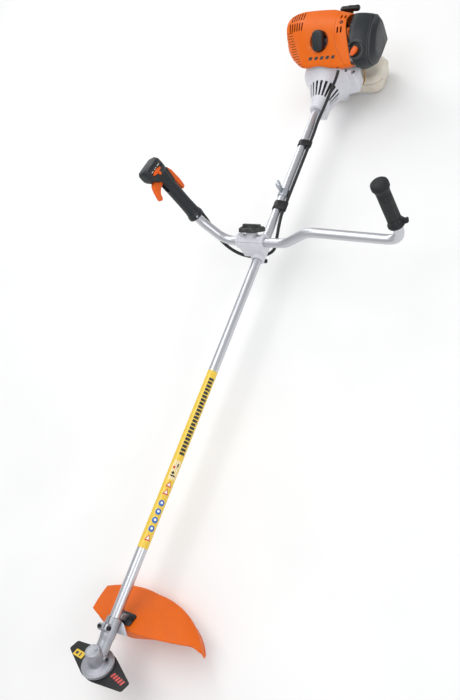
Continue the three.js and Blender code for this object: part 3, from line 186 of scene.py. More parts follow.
# Glass-filled polyamide, injection moulded: satin skin with 0.8 mm spark grain and faint flow clouds.
ORANGE = moulded("polyamide_orange", "#E56A02", "#DF6202", 0.8, 0.03, (0.36, 0.46), IOR=1.53,
                Specular_IOR_Level=0.25)
ORANGE_GUARD = moulded("polypropylene_orange_guard", "#E56802", "#DB5E02", 1.2, 0.04, (0.42, 0.52), IOR=1.5,
                      Specular_IOR_Level=0.25)
ORANGE_LEVER = moulded("polyamide_orange_lever", "#EC6404", "#E25A03", 0.6, 0.03, (0.36, 0.46), 12, IOR=1.53,
                      Specular_IOR_Level=0.35)
SLATE = moulded("polyamide_slate", "#1E2529", "#171C20", 0.9, 0.05, (0.4, 0.52), IOR=1.53,
                Specular_IOR_Level=0.4)
BLACK = moulded("polyamide_black", "#0D0E10", "#08090A", 0.8, 0.04, (0.36, 0.48), IOR=1.53,
                Specular_IOR_Level=0.4)
GREY = moulded("polyamide_light_grey", "#DCDCE2", "#CDCED6", 0.9, 0.04, (0.38, 0.5), IOR=1.53)
# Thermoplastic rubber, moulded over the tubes: matt, soft highlight, 0.7 mm leather grain.
RUBBER = moulded("thermoplastic_rubber", "#1A1E21", "#131719", 0.7, 0.12, (0.55, 0.7), 18, IOR=1.5,
                 Specular_IOR_Level=0.4)
# Aluminium die casting, shot blasted: matt metal with 1.1 mm blast dimples and cloudy oxide.
CASTING = moulded("die_cast_aluminium", "#B9BBC1", "#9FA1A8", 1.1, 0.12, (0.42, 0.56), 14, Metallic=0.85)
# Polyethylene, blow moulded: waxy, slightly see-through, cloudy where the wall is thin.
TANK = moulded("blow_moulded_polyethylene", "#E9E3D6", "#D6CEBE", 1.6, 0.05, (0.34, 0.46), 40, IOR=1.52,
               Subsurface_Weight=0.25, Subsurface_Scale=0.01)
GASKET = moulded("cork_rubber_gasket", "#B98A3E", "#8E6426", 0.9, 0.15, (0.6, 0.75), 6, IOR=1.5)
# Hardened steel, powder coated black: satin with orange-peel about 2 mm across.
BLADE_COAT = moulded("powder_coated_steel", "#0F1114", "#0B0C0E", 2.0, 0.05, (0.4, 0.5), 20, IOR=1.5,
                      Specular_IOR_Level=0.35)
# Black-oxide steel: dark, slightly oily.
BLACK_STEEL = moulded("black_oxide_steel", "#3A3C3F", "#232527", 0.6, 0.03, (0.34, 0.48), 8, Metallic=0.7)
# Sintered bronze: warm, open pores of about 0.5 mm.
BRONZE = moulded("sintered_bronze", "#B98B55", "#8D6334", 0.5, 0.12, (0.4, 0.55), 5, Metallic=0.9)
# Pleated filter paper: fibrous and matt.
PAPER = moulded("filter_paper", "#E6D9A8", "#D2C48E", 0.5, 0.1, (0.8, 0.9), 4, IOR=1.45)
# Aluminium tube, drawn and clear anodised: fine lines 0.5 mm apart along its length.
TUBE_SKIN = drawn_metal("anodised_aluminium_tube", "#CFD1D6", "#C8CACF", "X", 0.5, (0.34, 0.42))
BAR_SKIN = drawn_metal("anodised_aluminium_bar", "#CCCED3", "#C5C7CC", "Y", 0.5, (0.34, 0.42))
# Steel, turned or ground bright.
BRIGHT = drawn_metal("ground_steel", "#D4D5D6", "#A9ABAE", "Y", 0.6, (0.2, 0.32))
# Steel, zinc plated and passivated: pale with a faint bluish cloud.
ZINC = drawn_metal("zinc_plated_steel", "#CFD4DA", "#A5ABB3", "Z", 1.4, (0.26, 0.38))


def printed_film(name, light, dark):
    """Polyester film label: smooth laminate over flat ink, a faint 3 mm mottle from the print."""
    return moulded(name, light, dark, 3, 0.01, (0.22, 0.3), 9, IOR=1.58)


FILM_YELLOW = printed_film("label_film_yellow", "#F2CE2E", "#E4BC22")
FILM_BLACK = printed_film("label_film_black", "#2A2A2A", "#1E1E1E")
FILM_WHITE = printed_film("label_film_white", "#F4F4F2", "#E8E8E4")
FILM_RED = printed_film("label_film_red", "#D8362A", "#C42A20")
FILM_BLUE = printed_film("label_film_blue", "#2E6FC0", "#2460AC")


def braided_sleeve():
    """Woven polyester sleeve on the cable: black yarns 1.2 mm wide with a pale tracer yarn."""
    made, tree, surface, place = blank("braided_cable_sleeve", Roughness=0.55)
    weave = node(tree, "ShaderNodeMapping", {"Scale": (22.0, per_metre(2.4), 1.0)},
                 {"Vector": place.outputs["UV"]})
    one = node(tree, "ShaderNodeTexWave", {"Scale": 0.5, "Distortion": 0.4},
               {"Vector": weave.outputs["Vector"]}, bands_direction="DIAGONAL")
    flipped = node(tree, "ShaderNodeMapping", {"Scale": (-1.0, 1.0, 1.0)},
                   {"Vector": weave.outputs["Vector"]})
    two = node(tree, "ShaderNodeTexWave", {"Scale": 0.5, "Distortion": 0.4},
               {"Vector": flipped.outputs["Vector"]}, bands_direction="DIAGONAL")
    yarn = node(tree, "ShaderNodeMath", links={0: one.outputs["Fac"], 1: two.outputs["Fac"]},
                operation="MULTIPLY")
    fleck = node(tree, "ShaderNodeTexNoise", {"Scale": per_metre(5), "Detail": 1.0},
                 {"Vector": place.outputs["Object"]})
    pale = node(tree, "ShaderNodeMath", links={0: yarn.outputs["Value"], 1: fleck.outputs["Fac"]},
                operation="MULTIPLY")
    tone = node(tree, "ShaderNodeValToRGB", links={"Fac": pale.outputs["Value"]},
                stops=[(0.2, srgb("#17191C")), (0.45, srgb("#262A2E")), (0.62, srgb("#6A6E72"))])
    tree.links.new(tone.outputs["Color"], surface.inputs["Base Color"])
    bump = node(tree, "ShaderNodeBump", {"Strength": 0.8, "Distance": 0.4 * MM},
                {"Height": yarn.outputs["Value"]})
    tree.links.new(bump.outputs["Normal"], surface.inputs["Normal"])
    return made


BRAID = braided_sleeve()


# ---------- shapes, in millimetres ----------
def as_object(name, corners, faces):
    mesh = bpy.data.meshes.new(name)
    mesh.from_pydata([tuple(c) for c in corners], [], faces)
    mesh.validate()
    made = bpy.data.objects.new(name, mesh)
    bpy.context.scene.collection.objects.link(made)
    return made


def outward(obj):
    skin = bmesh.new()
    skin.from_mesh(obj.data)
    bmesh.ops.remove_doubles(skin, verts=skin.verts, dist=1e-5)
    bmesh.ops.recalc_face_normals(skin, faces=skin.faces)
    skin.to_mesh(obj.data)
    skin.free()
    return obj


def loft(rings, closed=False):
    """Skin over rings of the same count; closed joins the last ring to the first."""
    count = len(rings[0])
    corners = [p for ring in rings for p in ring]
    faces = []
    spans = len(rings) if closed else len(rings) - 1
    for r in range(spans):
        low, high = r * count, ((r + 1) % len(rings)) * count
        for i in range(count):
            j = (i + 1) % count
            faces.append((low + i, low + j, high + j, high + i))
    if not closed:
        faces.append(tuple(range(count))[::-1])
        faces.append(tuple(range(len(corners) - count, len(corners))))
    return outward(as_object("loft", corners, faces))


def turned(profile, sides=64):
    """Solid of revolution about Z from (radius, height) pairs; radius 0 lies on the axis."""
    corners, rows = [], []
    for radius, height in profile:
        if radius < 1e-6:
            rows.append([len(corners)] * sides)
            corners.append((0, 0, height))
            continue
        rows.append(list(range(len(corners), len(corners) + sides)))
        for i in range(sides):
            turn = 2 * math.pi * i / sides
            corners.append((radius * math.cos(turn), radius * math.sin(turn), height))
    faces = []
    loop = profile[0][0] > 1e-6 and profile[-1][0] > 1e-6
    pairs = list(zip(rows, rows[1:] + (rows[:1] if loop else []), strict=False))
    for low, high in pairs:
        for i in range(sides):
            j = (i + 1) % sides
            face = list(dict.fromkeys([low[i], low[j], high[j], high[i]]))
            if len(face) > 2:
                faces.append(tuple(face))
    return outward(as_object("turned", corners, faces))


def rod(radius, low, high, sides=64):
    """Round bar about Z, from Z low to Z high."""
    return turned([(0, low), (radius, low), (radius, high), (0, high)], sides)


def slab(outline, low, high):
    """Prism over a flat outline, from Z low to Z high."""
    return loft([[(x, y, low) for x, y in outline], [(x, y, high) for x, y in outline]])


def block(x0, x1, y0, y1, z0, z1):
    return slab([(x0, y0), (x1, y0), (x1, y1), (x0, y1)], z0, z1)


def rounded(points, radius, steps=6):
    """Outline with each corner turned into an arc-like curve; radius is one number or one per corner."""
    count = len(points)
    radii = radius if isinstance(radius, (list, tuple)) else [radius] * count
    made = []
    for i in range(count):
        corner = Vector(points[i])
        before = Vector(points[i - 1]) - corner
        after = Vector(points[(i + 1) % count]) - corner
        reach = min(radii[i], before.length * 0.48, after.length * 0.48)
        start = corner + before.normalized() * reach
        end = corner + after.normalized() * reach
        for step in range(steps + 1):
            t = step / steps
            made.append(start * (1 - t) ** 2 + corner * 2 * t * (1 - t) + end * t * t)
    return made


def rectangle(width, depth, radius, steps=6):
    x, y = width / 2, depth / 2
    return rounded([(-x, -y), (x, -y), (x, y), (-x, y)], radius, steps)


def disc_outline(radius, sides=32, x=0, y=0):
    turns = [2 * math.pi * i / sides for i in range(sides)]
    return [(x + radius * math.cos(t), y + radius * math.sin(t)) for t in turns]


def smooth_path(points, steps):
    """Centripetal Catmull-Rom curve through the points, with steps spans between each two."""
    ends = [points[0] * 2 - points[1], *points, points[-1] * 2 - points[-2]]
    made = []
    for i in range(1, len(ends) - 2):
        a, b, c, d = ends[i - 1:i + 3]
        t1 = (b - a).length ** 0.5
        t2 = t1 + (c - b).length ** 0.5
        t3 = t2 + (d - c).length ** 0.5
        for step in range(steps):
            t = t1 + (t2 - t1) * step / steps
            ab = a * ((t1 - t) / t1) + b * (t / t1)
            bc = b * ((t2 - t) / (t2 - t1)) + c * ((t - t1) / (t2 - t1))
            cd = c * ((t3 - t) / (t3 - t2)) + d * ((t - t2) / (t3 - t2))
            left = ab * ((t2 - t) / t2) + bc * (t / t2)
            right = bc * ((t3 - t) / (t3 - t1)) + cd * ((t - t1) / (t3 - t1))
            made.append(left * ((t2 - t) / (t2 - t1)) + right * ((t - t1) / (t2 - t1)))
    made.append(points[-1])
    return made


def piped(path, radius, sides=24):
    """Round pipe along a path. Its UV runs once round the pipe and in metres along it."""
    tangents = [(path[min(i + 1, len(path) - 1)] - path[max(i - 1, 0)]).normalized()
                for i in range(len(path))]
    side = tangents[0].orthogonal().normalized()
    rings, run, runs = [], 0.0, []
    for i, (centre, along) in enumerate(zip(path, tangents, strict=True)):
        side = (side - along * side.dot(along)).normalized()
        up = along.cross(side)
        run += (centre - path[i - 1]).length if i else 0
        runs.append(run)
        rings.append([centre + side * (radius * math.cos(2 * math.pi * k / sides))
                      + up * (radius * math.sin(2 * math.pi * k / sides)) for k in range(sides)])
    corners = [p for ring in rings for p in ring]
    faces, wraps = [], []
    for r in range(len(rings) - 1):
        for i in range(sides):
            j = (i + 1) % sides
            faces.append((r * sides + i, r * sides + j, (r + 1) * sides + j, (r + 1) * sides + i))
            wraps.append([(i / sides, runs[r] * MM), ((i + 1) / sides, runs[r] * MM),
                          ((i + 1) / sides, runs[r + 1] * MM), (i / sides, runs[r + 1] * MM)])
    faces.append(tuple(range(sides))[::-1])
    wraps.append([(0, 0)] * sides)
    faces.append(tuple(range(len(corners) - sides, len(corners))))
    wraps.append([(0, 0)] * sides)
    made = as_object("pipe", corners, faces)
    layer = made.data.uv_layers.new(name="round_and_along")
    for polygon, wrap in zip(made.data.polygons, wraps, strict=True):
        for loop, uv in zip(polygon.loop_indices, wrap, strict=True):
            layer.data[loop].uv = uv
    return made


def moved(obj, *matrices):
    for matrix in matrices:
        obj.data.transform(matrix)
    return obj


def baked(obj):
    """Turns the modifiers into mesh."""
    bpy.context.view_layer.update()
    view = obj.evaluated_get(bpy.context.evaluated_depsgraph_get())
    mesh = bpy.data.meshes.new_from_object(view)
    old = obj.data
    obj.modifiers.clear()
    obj.data = mesh
    bpy.data.meshes.remove(old)
    return obj


def combined(obj, others, operation):
    for other in others:
        step = obj.modifiers.new("step", "BOOLEAN")
        step.operation = operation
        step.solver = "MANIFOLD"
        step.object = other
    baked(obj)
    for other in others:
        bpy.data.objects.remove(other)
    return obj


def cut(obj, *others):
    return combined(obj, others, "DIFFERENCE")


def join(obj, *others):
    return combined(obj, others, "UNION")


def kept_inside(obj, *others):
    return combined(obj, others, "INTERSECT")


def softened(obj, width, segments=2, angle=32):
    step = obj.modifiers.new("edges", "BEVEL")
    step.width = width
    step.segments = segments
    step.limit_method = "ANGLE"
    step.angle_limit = math.radians(angle)
    step.harden_normals = False
    return baked(obj)


def blended(obj, grid, passes, factor=0.5):
    """Casting fillets: a fine remesh, then relaxing."""
    step = obj.modifiers.new("grid", "REMESH")
    step.mode = "VOXEL"
    step.voxel_size = grid
    relax = obj.modifiers.new("relax", "SMOOTH")
    relax.iterations = passes
    relax.factor = factor
    return baked(obj)


def parts(first, *others):
    """One object out of several that only touch, each keeping its own materials."""
    made = bmesh.new()
    materials = []
    for obj in (first, *others):
        start = len(made.faces)
        made.from_mesh(obj.data)
        made.faces.ensure_lookup_table()
        slots = list(obj.data.materials)
        for face in made.faces[start:]:
            wanted = slots[face.material_index] if slots else None
            if wanted not in materials:
                materials.append(wanted)
            face.material_index = materials.index(wanted)
    first.data.materials.clear()
    for material in materials:
        first.data.materials.append(material)
    made.to_mesh(first.data)
    made.free()
    for obj in others:
        bpy.data.objects.remove(obj)
    return first


def painted(obj, material):
    obj.data.materials.clear()
    obj.data.materials.append(material)
    for polygon in obj.data.polygons:
        polygon.material_index = 0
    return obj


def creased(obj, angle):
    """Smooth shading with sharp edges above the angle."""
    skin = bmesh.new()
    skin.from_mesh(obj.data)
    limit = math.radians(angle)
    for face in skin.faces:
        face.smooth = True
    for edge in skin.edges:
        edge.smooth = len(edge.link_faces) == 2 and edge.calc_face_angle(0) < limit
    skin.to_mesh(obj.data)
    skin.free()
    return obj


def piece(obj, name, place, body, material=None, stands_for=(), sharp=30):
    """Finishes one piece: puts it in place, gives it its finish and lets it ride on its body."""
    moved(obj, place)
    obj.name = name
    obj.data.name = name
    if material:
        painted(obj, material)
    creased(obj, sharp)
    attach(obj, body)
    if stands_for:
        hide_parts(*stands_for)
    return obj


def hex_screw(name, place, body, radius, head, length, material, replaced):
    """Socket-head screw: knurled round head with a hexagon socket, seated on Z 0, shank below."""
    rim = []
    for i in range(72):
        turn = 2 * math.pi * i / 72
        edge = radius - 0.18 * (i % 2)
        rim.append((edge * math.cos(turn), edge * math.sin(turn)))
    crown = softened(slab(rim, 0, head), 0.35, 2, 50)
    socket = slab(disc_outline(radius * 0.52, 6), head * 0.45, head + 1)
    shank = turned([(0, -length), (radius * 0.5, -length + 0.6), (radius * 0.55, -length + 1.2),
                    (radius * 0.55, 0.2), (0, 0.2)], 24)
    made = join(cut(crown, socket), shank)
    return piece(made, name, place, body, material, [replaced], 40)


# ---------- cutting head ----------
def gearbox():
    cap = moved(turned([
        (0, -6.6), (36, -6.6), (36, -3.6), (35.4, -2.7), (34.4, -2.4), (33.8, -3.2), (32.8, -3.2),
        (32.2, -2.2), (31, -1.7), (22, -0.6), (19, 0.6), (17.6, 2.8), (17, 6), (16.7, 20), (16.5, 35),
        (15.8, 37), (14.4, 38), (12.6, 38), (12.2, 37.4), (0, 37.4),
    ], 96), turned_about("Y", HEAD_LEAN))
    neck = moved(turned([(0, 2), (15.8, 2), (15.6, 12), (15.2, 26), (15, 44), (16.2, 52), (16.6, 55),
                         (16.6, 93), (0, 93)], 72), ALONG_X)
    lug = moved(softened(slab(rectangle(18, 15, 6), 0, 15), 1.6), turned_about("X", 90),
                shifted(69.5, 7.5, 17.6))
    ear = moved(softened(slab(rectangle(15, 19, 6), -9, 9), 1.6), shifted(67, 17.6, 2))
    boss = moved(softened(turned([(0, 0), (5.8, 0), (5.4, 9.6), (0, 9.6)], 32), 0.8), turned_about("X", 90),
                 shifted(12, -10.6, 2))
    core = moved(turned([(0, 0), (16.8, 0), (16.4, 30), (0, 30)], 72), turned_about("Y", HEAD_LEAN))
    body = blended(join(join(neck, boss), core), 0.9, 7)
    body = join(body, cap, lug, ear)
    tunnel = moved(rod(BORE_R, 52, 96), ALONG_X)
    slit = block(66, 95, -1.1, 1.1, 9, 34)
    screw_hole = moved(rod(5.4, -6, 2, 32), turned_about("X", 90),
                       shifted(69.5, -6.5, 19.6))
    body = cut(body, tunnel, slit, screw_hole)
    piece(softened(body, 0.3, 1, 50), "gearbox_casting", MACHINE, "machine", CASTING, ["gearbox_housing"],
          38)


gearbox()
FRONT_FACING = turned_about("X", 90)         # a screw's head points to the operator's left
hex_screw("gearbox_clamp_bolt", MACHINE @ shifted(69.5, -7.9, 19.6) @ FRONT_FACING, "machine", 4.9, 4.4, 14,
          BLACK_STEEL, "gearbox_clamp_screw")
hex_screw("gearbox_side_bolt", MACHINE @ shifted(67, 20.4, 11.4), "machine", 4.3, 3.8, 12, BLACK_STEEL,
          "gearbox_lug_screw")
hex_screw("grease_filler_plug", MACHINE @ shifted(12, -20.3, 2) @ FRONT_FACING, "machine", 3.9, 2.4, 8,
          BLACK_STEEL, "grease_plug")


BLADE_TOP, BLADE_BOTTOM = -10, -12
BLADE_SPIN = HEAD @ turned_about("Z", -13.5)


def blade():
    """Two-ended blade, 178 by 71 mm, with ground cutting bevels along its long edges."""
    points = [(10, 89), (-13, 89), (-35.5, 14), (-35.5, -14), (-10, -89), (13, -89), (35.5, -14), (35.5, 14)]
    low = rounded(points, [4, 4, 8, 8, 4, 4, 8, 8], 5)
    high = [Vector((x * 0.955, y * 0.985)) for x, y in low]
    body = loft([[(x, y, BLADE_BOTTOM) for x, y in low], [(x, y, BLADE_BOTTOM + 0.7) for x, y in low],
                 [(x, y, BLADE_TOP) for x, y in high]])
    spindle = rod(9.9, -14, -8, 48)
    return piece(cut(body, spindle), "blade_two_ended", BLADE_SPIN, "cutter", BLADE_COAT, ["blade"],
                 24)


blade()


def decal(outline, low, thick, place, body, name, material):
    """Thin printed patch: a rounded slab that lies on its piece."""
    return piece(slab(outline, low, low + thick), name, place, body, material, (), 40)


SKIN = 0.12                     # thickness of a label, mm
sticker = rectangle(15, 27, 2)
at_end = BLADE_SPIN @ shifted(-9, 58, BLADE_TOP) @ turned_about("Z", 8)
decal(sticker, 0.02, SKIN, at_end, "cutter", "blade_sticker", FILM_YELLOW)
decal(disc_outline(3.6, 24, 0, 6), 0.15, SKIN, at_end, "cutter", "blade_sticker_dot", FILM_BLACK)
decal(rectangle(9, 3, 0.6), 0.15, SKIN, at_end @ shifted(0, -4, 0), "cutter", "blade_sticker_bar", FILM_BLACK)
for i in range(5):
    at_bar = BLADE_SPIN @ shifted(4, -46 - 7.6 * i, BLADE_TOP)
    decal([(-5.5, -1.4), (5.5, -3.4), (5.5, 1.4), (-5.5, 3.4)], 0.02, SKIN, at_bar, "cutter",
          f"blade_mark_{i}", FILM_RED)

plate = turned([(5.4, -7.1), (33, -7.1), (34.6, -7.4), (36, -8.2), (36, -9.6), (9.6, -9.6), (9.6, -11.5),
                (5.4, -11.5)], 96)
piece(plate, "thrust_plate_turned", HEAD, "cutter", CASTING, ["thrust_plate"], 24)
rider = turned([(5.4, -12.3), (26, -12.3), (27, -12.9), (27, -14.2), (25.6, -15.6), (18.4, -20.4),
                (16.6, -21.3), (5.4, -21.3)], 72)
piece(rider, "rider_plate_pressed", HEAD, "cutter", ZINC, ["rider_plate"], 28)
nut = kept_inside(slab(disc_outline(11, 6), -30.6, -21.6),
                  turned([(0, -30.8), (8.6, -30.8), (11.2, -29.4), (11.2, -21.4), (0, -21.4)], 48))
nut = cut(nut, rod(5.4, -31, -21, 32))
piece(nut, "blade_nut_hexagon", HEAD, "cutter", ZINC, ["blade_nut"], 30)


# ---------- guard ----------
GUARD_R, GUARD_FRONT, GUARD_TOP, GUARD_RIM = 194, 76, 22.4, 14
FLOOR = -126
SKIRT_LOW = (FLOOR + (GUARD_R + 2) * math.sin(math.radians(HEAD_LEAN))) / math.cos(math.radians(HEAD_LEAN))
GUARD_SCREWS = [(104, -23), (104, 23)]


def front_bow(side):
    """How far the guard's front edge bows to the rear, at this distance to the side."""
    return 20 * (side / 83) ** 2 if side > 0 else 24 * (side / 185) ** 2


def guard_section(share):
    """One cross-section of the guard, from its front edge over the roof to the bottom of its skirt."""
    turn = 64 * share - 31 * (1 - share)
    edge = GUARD_R + 0.66 * max(0, turn - 10)
    side = 83 - 268 * share
    front = Vector((GUARD_FRONT + front_bow(side), side))

    def out(radius):
        return Vector((radius * math.cos(math.radians(turn)), -radius * math.sin(math.radians(turn))))

    rear = out(edge - 5)
    low = SKIRT_LOW + (-6 - SKIRT_LOW) * max(0, turn / 64) ** 2
    roof = [(front.lerp(rear, i / 12), GUARD_TOP + (GUARD_RIM - GUARD_TOP) * (i / 12) ** 2)
            for i in range(13)]
    drop = [(-1.2, -0.9), (0.6, -2.4), (1.6, -5)]
    skirt = [(out(edge - 2.6 + d), GUARD_RIM + h) for d, h in drop]
    skirt += [(out(edge - 0.6 + 2.6 * t), GUARD_RIM - 6 + (low - GUARD_RIM + 6) * t)
              for t in (0, 0.3, 0.6, 0.85, 1)]
    return [Vector((flat.x, flat.y, height)) for flat, height in roof + skirt]


def guard():
    columns = 72
    sections = [guard_section(i / columns) for i in range(columns + 1)]
    rows = len(sections[0])
    corners = [p for section in sections for p in section]
    faces = [(c * rows + r, c * rows + r + 1, (c + 1) * rows + r + 1, (c + 1) * rows + r)
             for c in range(columns) for r in range(rows - 1)]
    shell = as_object("guard", corners, faces)
    wall = shell.modifiers.new("wall", "SOLIDIFY")
    wall.thickness = 2.6
    wall.offset = -1 if shell.data.polygons[0].normal.z > 0 else 1
    shell = outward(baked(shell))
    shell = softened(shell, 0.7, 2, 45)
    # a bead along the skirt's lower edge, and the apron below the front edge
    lip = piped([sections[c][-1] + Vector((0, 0, 1.2)) for c in range(1, columns)], 1.7, 12)
    apron = []
    for i in range(25):
        side = 58 - 158 * i / 24
        x = 78.2 + front_bow(side)
        fade = min(1, (100 + side) / 62, (58 - side) / 20 + 0.1)
        low = GUARD_TOP - 2 - 19 * max(0.02, fade)
        apron.append([(x, side, GUARD_TOP - 0.6), (x, side, low), (x - 2.4, side, low),
                      (x - 2.4, side, GUARD_TOP - 0.6)])
    shell = join(shell, outward(lip), loft(apron))
    shell = cut(shell, *[moved(rod(3, -60, 60, 24), shifted(x, y, 0)) for x, y in GUARD_SCREWS])
    piece(shell, "guard_moulding", HEAD, "machine", ORANGE_GUARD, ["guard"], 34)


guard()


def guard_bracket():
    """Folded steel bracket: pad on the guard, band round the tube and a gusset between them."""
    top = GUARD_TOP + 3.3
    pad = softened(slab([(x + 101, y) for x, y in rectangle(30, 58, 6)], GUARD_TOP + 0.3, top), 0.6)
    moved(pad, turned_about("Y", HEAD_LEAN))
    band = moved(turned([(BORE_R, 94), (14.6, 94), (14.6, 106), (BORE_R, 106)], 64), ALONG_X)
    band = cut(band, block(90, 112, -20, 20, -3, 20))
    side = [(94, -12), (108, -12), (108, -33), (94, -26)]
    plate = softened(slab([(66, -16.8), (91, -16.8), (88, -24), (68, -44)], -7, -4.4), 0.6)
    gussets = [moved(softened(slab(side, -1.3, 1.3), 0.5), turned_about("X", 90), shifted(0, y, 0))
               for y in (-11, 11)]
    web = moved(slab(rectangle(14, 24, 3), -34, -10), shifted(101, 0, 0))
    web = cut(web, moved(rod(BORE_R, 80, 120, 48), ALONG_X),
              moved(block(40, 200, -60, 60, -120, GUARD_TOP + 0.3), turned_about("Y", HEAD_LEAN)))
    painted(pad, BLACK_STEEL)
    upper = [painted(shape, CASTING) for shape in (softened(band, 0.5), web, plate, *gussets)]
    made = parts(pad, *upper)
    piece(made, "guard_bracket_folded", MACHINE, "machine", None, ["guard_bracket"], 34)


guard_bracket()
for (x, y), side in zip(GUARD_SCREWS, ("left", "right"), strict=True):
    hex_screw("guard_bolt_" + side, HEAD @ shifted(x, y, GUARD_TOP + 3.6), "machine", 4.6, 4, 10, BLACK_STEEL,
              "guard_screw_" + side)


# ---------- tube, label, cable ----------
TUBE_R = 12
tube = moved(turned([(10.5, 56), (11.9, 56), (12, 56.4), (12, 1561.6), (11.9, 1562), (10.5, 1562)], 64),
             ALONG_X)
piece(tube, "drive_tube_drawn", MACHINE, "machine", TUBE_SKIN, ["drive_tube"], 30)

LABEL_START, LABEL_END, LABEL_R = 247, 689, 12.45
sleeve = moved(turned([(12.05, LABEL_START), (LABEL_R, LABEL_START), (LABEL_R, LABEL_END),
                       (12.05, LABEL_END)], 64), ALONG_X)
piece(sleeve, "label_sleeve_film", MACHINE, "machine", FILM_YELLOW, ["label_sleeve"], 30)


def wrapped(outline, name, material, lift=0.08):
    """Printed patch bent round the tube. The outline is in mm along the tube and round it."""
    mesh = bmesh.new()
    face = mesh.faces.new([mesh.verts.new((x, y, 0)) for x, y in outline])
    bmesh.ops.triangulate(mesh, faces=[face])
    bmesh.ops.subdivide_edges(mesh, edges=list(mesh.edges), cuts=3, use_grid_fill=True)
    radius = LABEL_R + lift
    for vertex in mesh.verts:
        turn = vertex.co.y / LABEL_R
        vertex.co = Vector((vertex.co.x, -radius * math.cos(turn), radius * math.sin(turn)))
    data = bpy.data.meshes.new(name)
    mesh.to_mesh(data)
    mesh.free()
    made = bpy.data.objects.new(name, data)
    bpy.context.scene.collection.objects.link(made)
    wall = made.modifiers.new("wall", "SOLIDIFY")
    wall.thickness = 0.07
    wall.offset = 0
    baked(made)
    return piece(made, name, MACHINE, "machine", material, (), 60)


LABEL_SIDE = 9.5                # the print faces up and to the operator's left
for i in range(22):
    start = 470 + i * 9.2
    wrapped([(start, LABEL_SIDE - 9 + (i % 3)), (start + 6.6, LABEL_SIDE - 9 + (i % 3)),
             (start + 6.6, LABEL_SIDE + 5), (start, LABEL_SIDE + 5)], f"label_line_{i:02d}", FILM_BLACK)


def panel(x, length, y, width):
    return [(x + px, y + py) for px, py in rectangle(length, width, 1.2, 3)]


wrapped(panel(432, 46, LABEL_SIDE, 17), "label_panel_white", FILM_WHITE)
wrapped(panel(444, 8, LABEL_SIDE - 3, 3.4), "label_panel_bar", FILM_BLACK, 0.16)
wrapped(disc_outline(3.4, 16, 425, LABEL_SIDE + 2), "label_panel_dot", FILM_BLACK, 0.16)
wrapped(disc_outline(3.0, 16, 438, LABEL_SIDE + 4), "label_panel_mark", FILM_RED, 0.16)
wrapped(panel(418, 3.4, LABEL_SIDE, 12), "label_panel_line", FILM_BLACK, 0.16)


def triangle(x, size):
    return [(x - size / 2, LABEL_SIDE - size / 2), (x - size / 2, LABEL_SIDE + size / 2),
            (x + size / 2, LABEL_SIDE)]


for i, x in enumerate((272, 380, 398)):
    wrapped(triangle(x, 15), f"label_triangle_{i}", FILM_RED)
    wrapped(triangle(x - 0.6, 8), f"label_triangle_inner_{i}", FILM_WHITE, 0.16)
for i, x in enumerate((292, 312, 332, 352)):
    wrapped(disc_outline(7.2, 28, x, LABEL_SIDE), f"label_disc_{i}", FILM_BLUE)
    wrapped(disc_outline(3.0, 16, x + 0.8, LABEL_SIDE), f"label_disc_inner_{i}", FILM_WHITE, 0.16)

CABLE_R = 4.2
CABLE_POINTS = [Vector(p) for p in (
    (1606, -58, 62), (1590, -55, 54), (1560, -42, 35), (1525, -29, 16), (1480, -19.5, 5), (1440, -19.4, 2),
    (1398, -19.4, 2), (1300, -19.4, 2), (1206, -19.4, 2), (1171, -19.4, 2), (1158, -19.4, 1.7),
    (1128, -20.5, -4), (1092, -23, -13), (1068, -18, -27), (1055, 4, -34), (1043, 34, -28), (1036, 62, -8),
    (1039, 90, 18), (1054, 118, 52), (1070, 132, 84), (1074.5, 138.5, 108), (1076.5, 140.4, 114.2))]
cable = piped(smooth_path(CABLE_POINTS, 10), CABLE_R, 20)
cable.name = "throttle_cable_sleeve"
moved(cable, MACHINE)
painted(cable, BRAID)
creased(cable, 60)
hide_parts("throttle_cable")
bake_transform(cable)


def cable_strap(x, width, name, replaced):
    """Clip-on strap: band round the tube and a smaller band round the cable, with a tongue."""
    reach = math.hypot(19.4, 2)
    big, small = 14.6, 6.6
    lean = math.acos((big - small) / reach)
    steps = 24
    ring = [(big * math.cos(t), big * math.sin(t))
            for t in [lean + (2 * math.pi - 2 * lean) * i / (2 * steps) for i in range(2 * steps + 1)]]
    ring += [(reach + small * math.cos(t), small * math.sin(t))
             for t in [-lean + 2 * lean * i / steps for i in range(steps + 1)]]
    body = softened(slab(ring, -width / 2, width / 2), 0.9, 2, 40)
    holes = [rod(r, -40, 40, 48) for r in (12.2, 4.35)]
    moved(holes[1], shifted(reach, 0, 0))
    body = cut(body, *holes)
    tongue = moved(softened(block(-3.4, 3.4, -1.2, 1.4, -width / 2 - 3, width / 2 + 3), 0.7),
                   shifted(0, big, 0))
    ribs = [turned([(14.4, z - 0.7), (15.3, z), (14.4, z + 0.7)], 48) for z in (-width / 4, width / 4)]
    body = parts(body, tongue, *ribs)
    turn = math.degrees(math.atan2(2, -19.4))
    moved(body, turned_about("Z", turn), turned_about("Y", 90), turned_about("X", 90))
    piece(body, name, MACHINE @ shifted(x, 0, 0), "machine", BLACK, [replaced], 34)


cable_strap(1186, 26, "cable_strap_lower_clip", "cable_strap_lower")
cable_strap(1398, 18, "cable_strap_upper_clip", "cable_strap_upper")


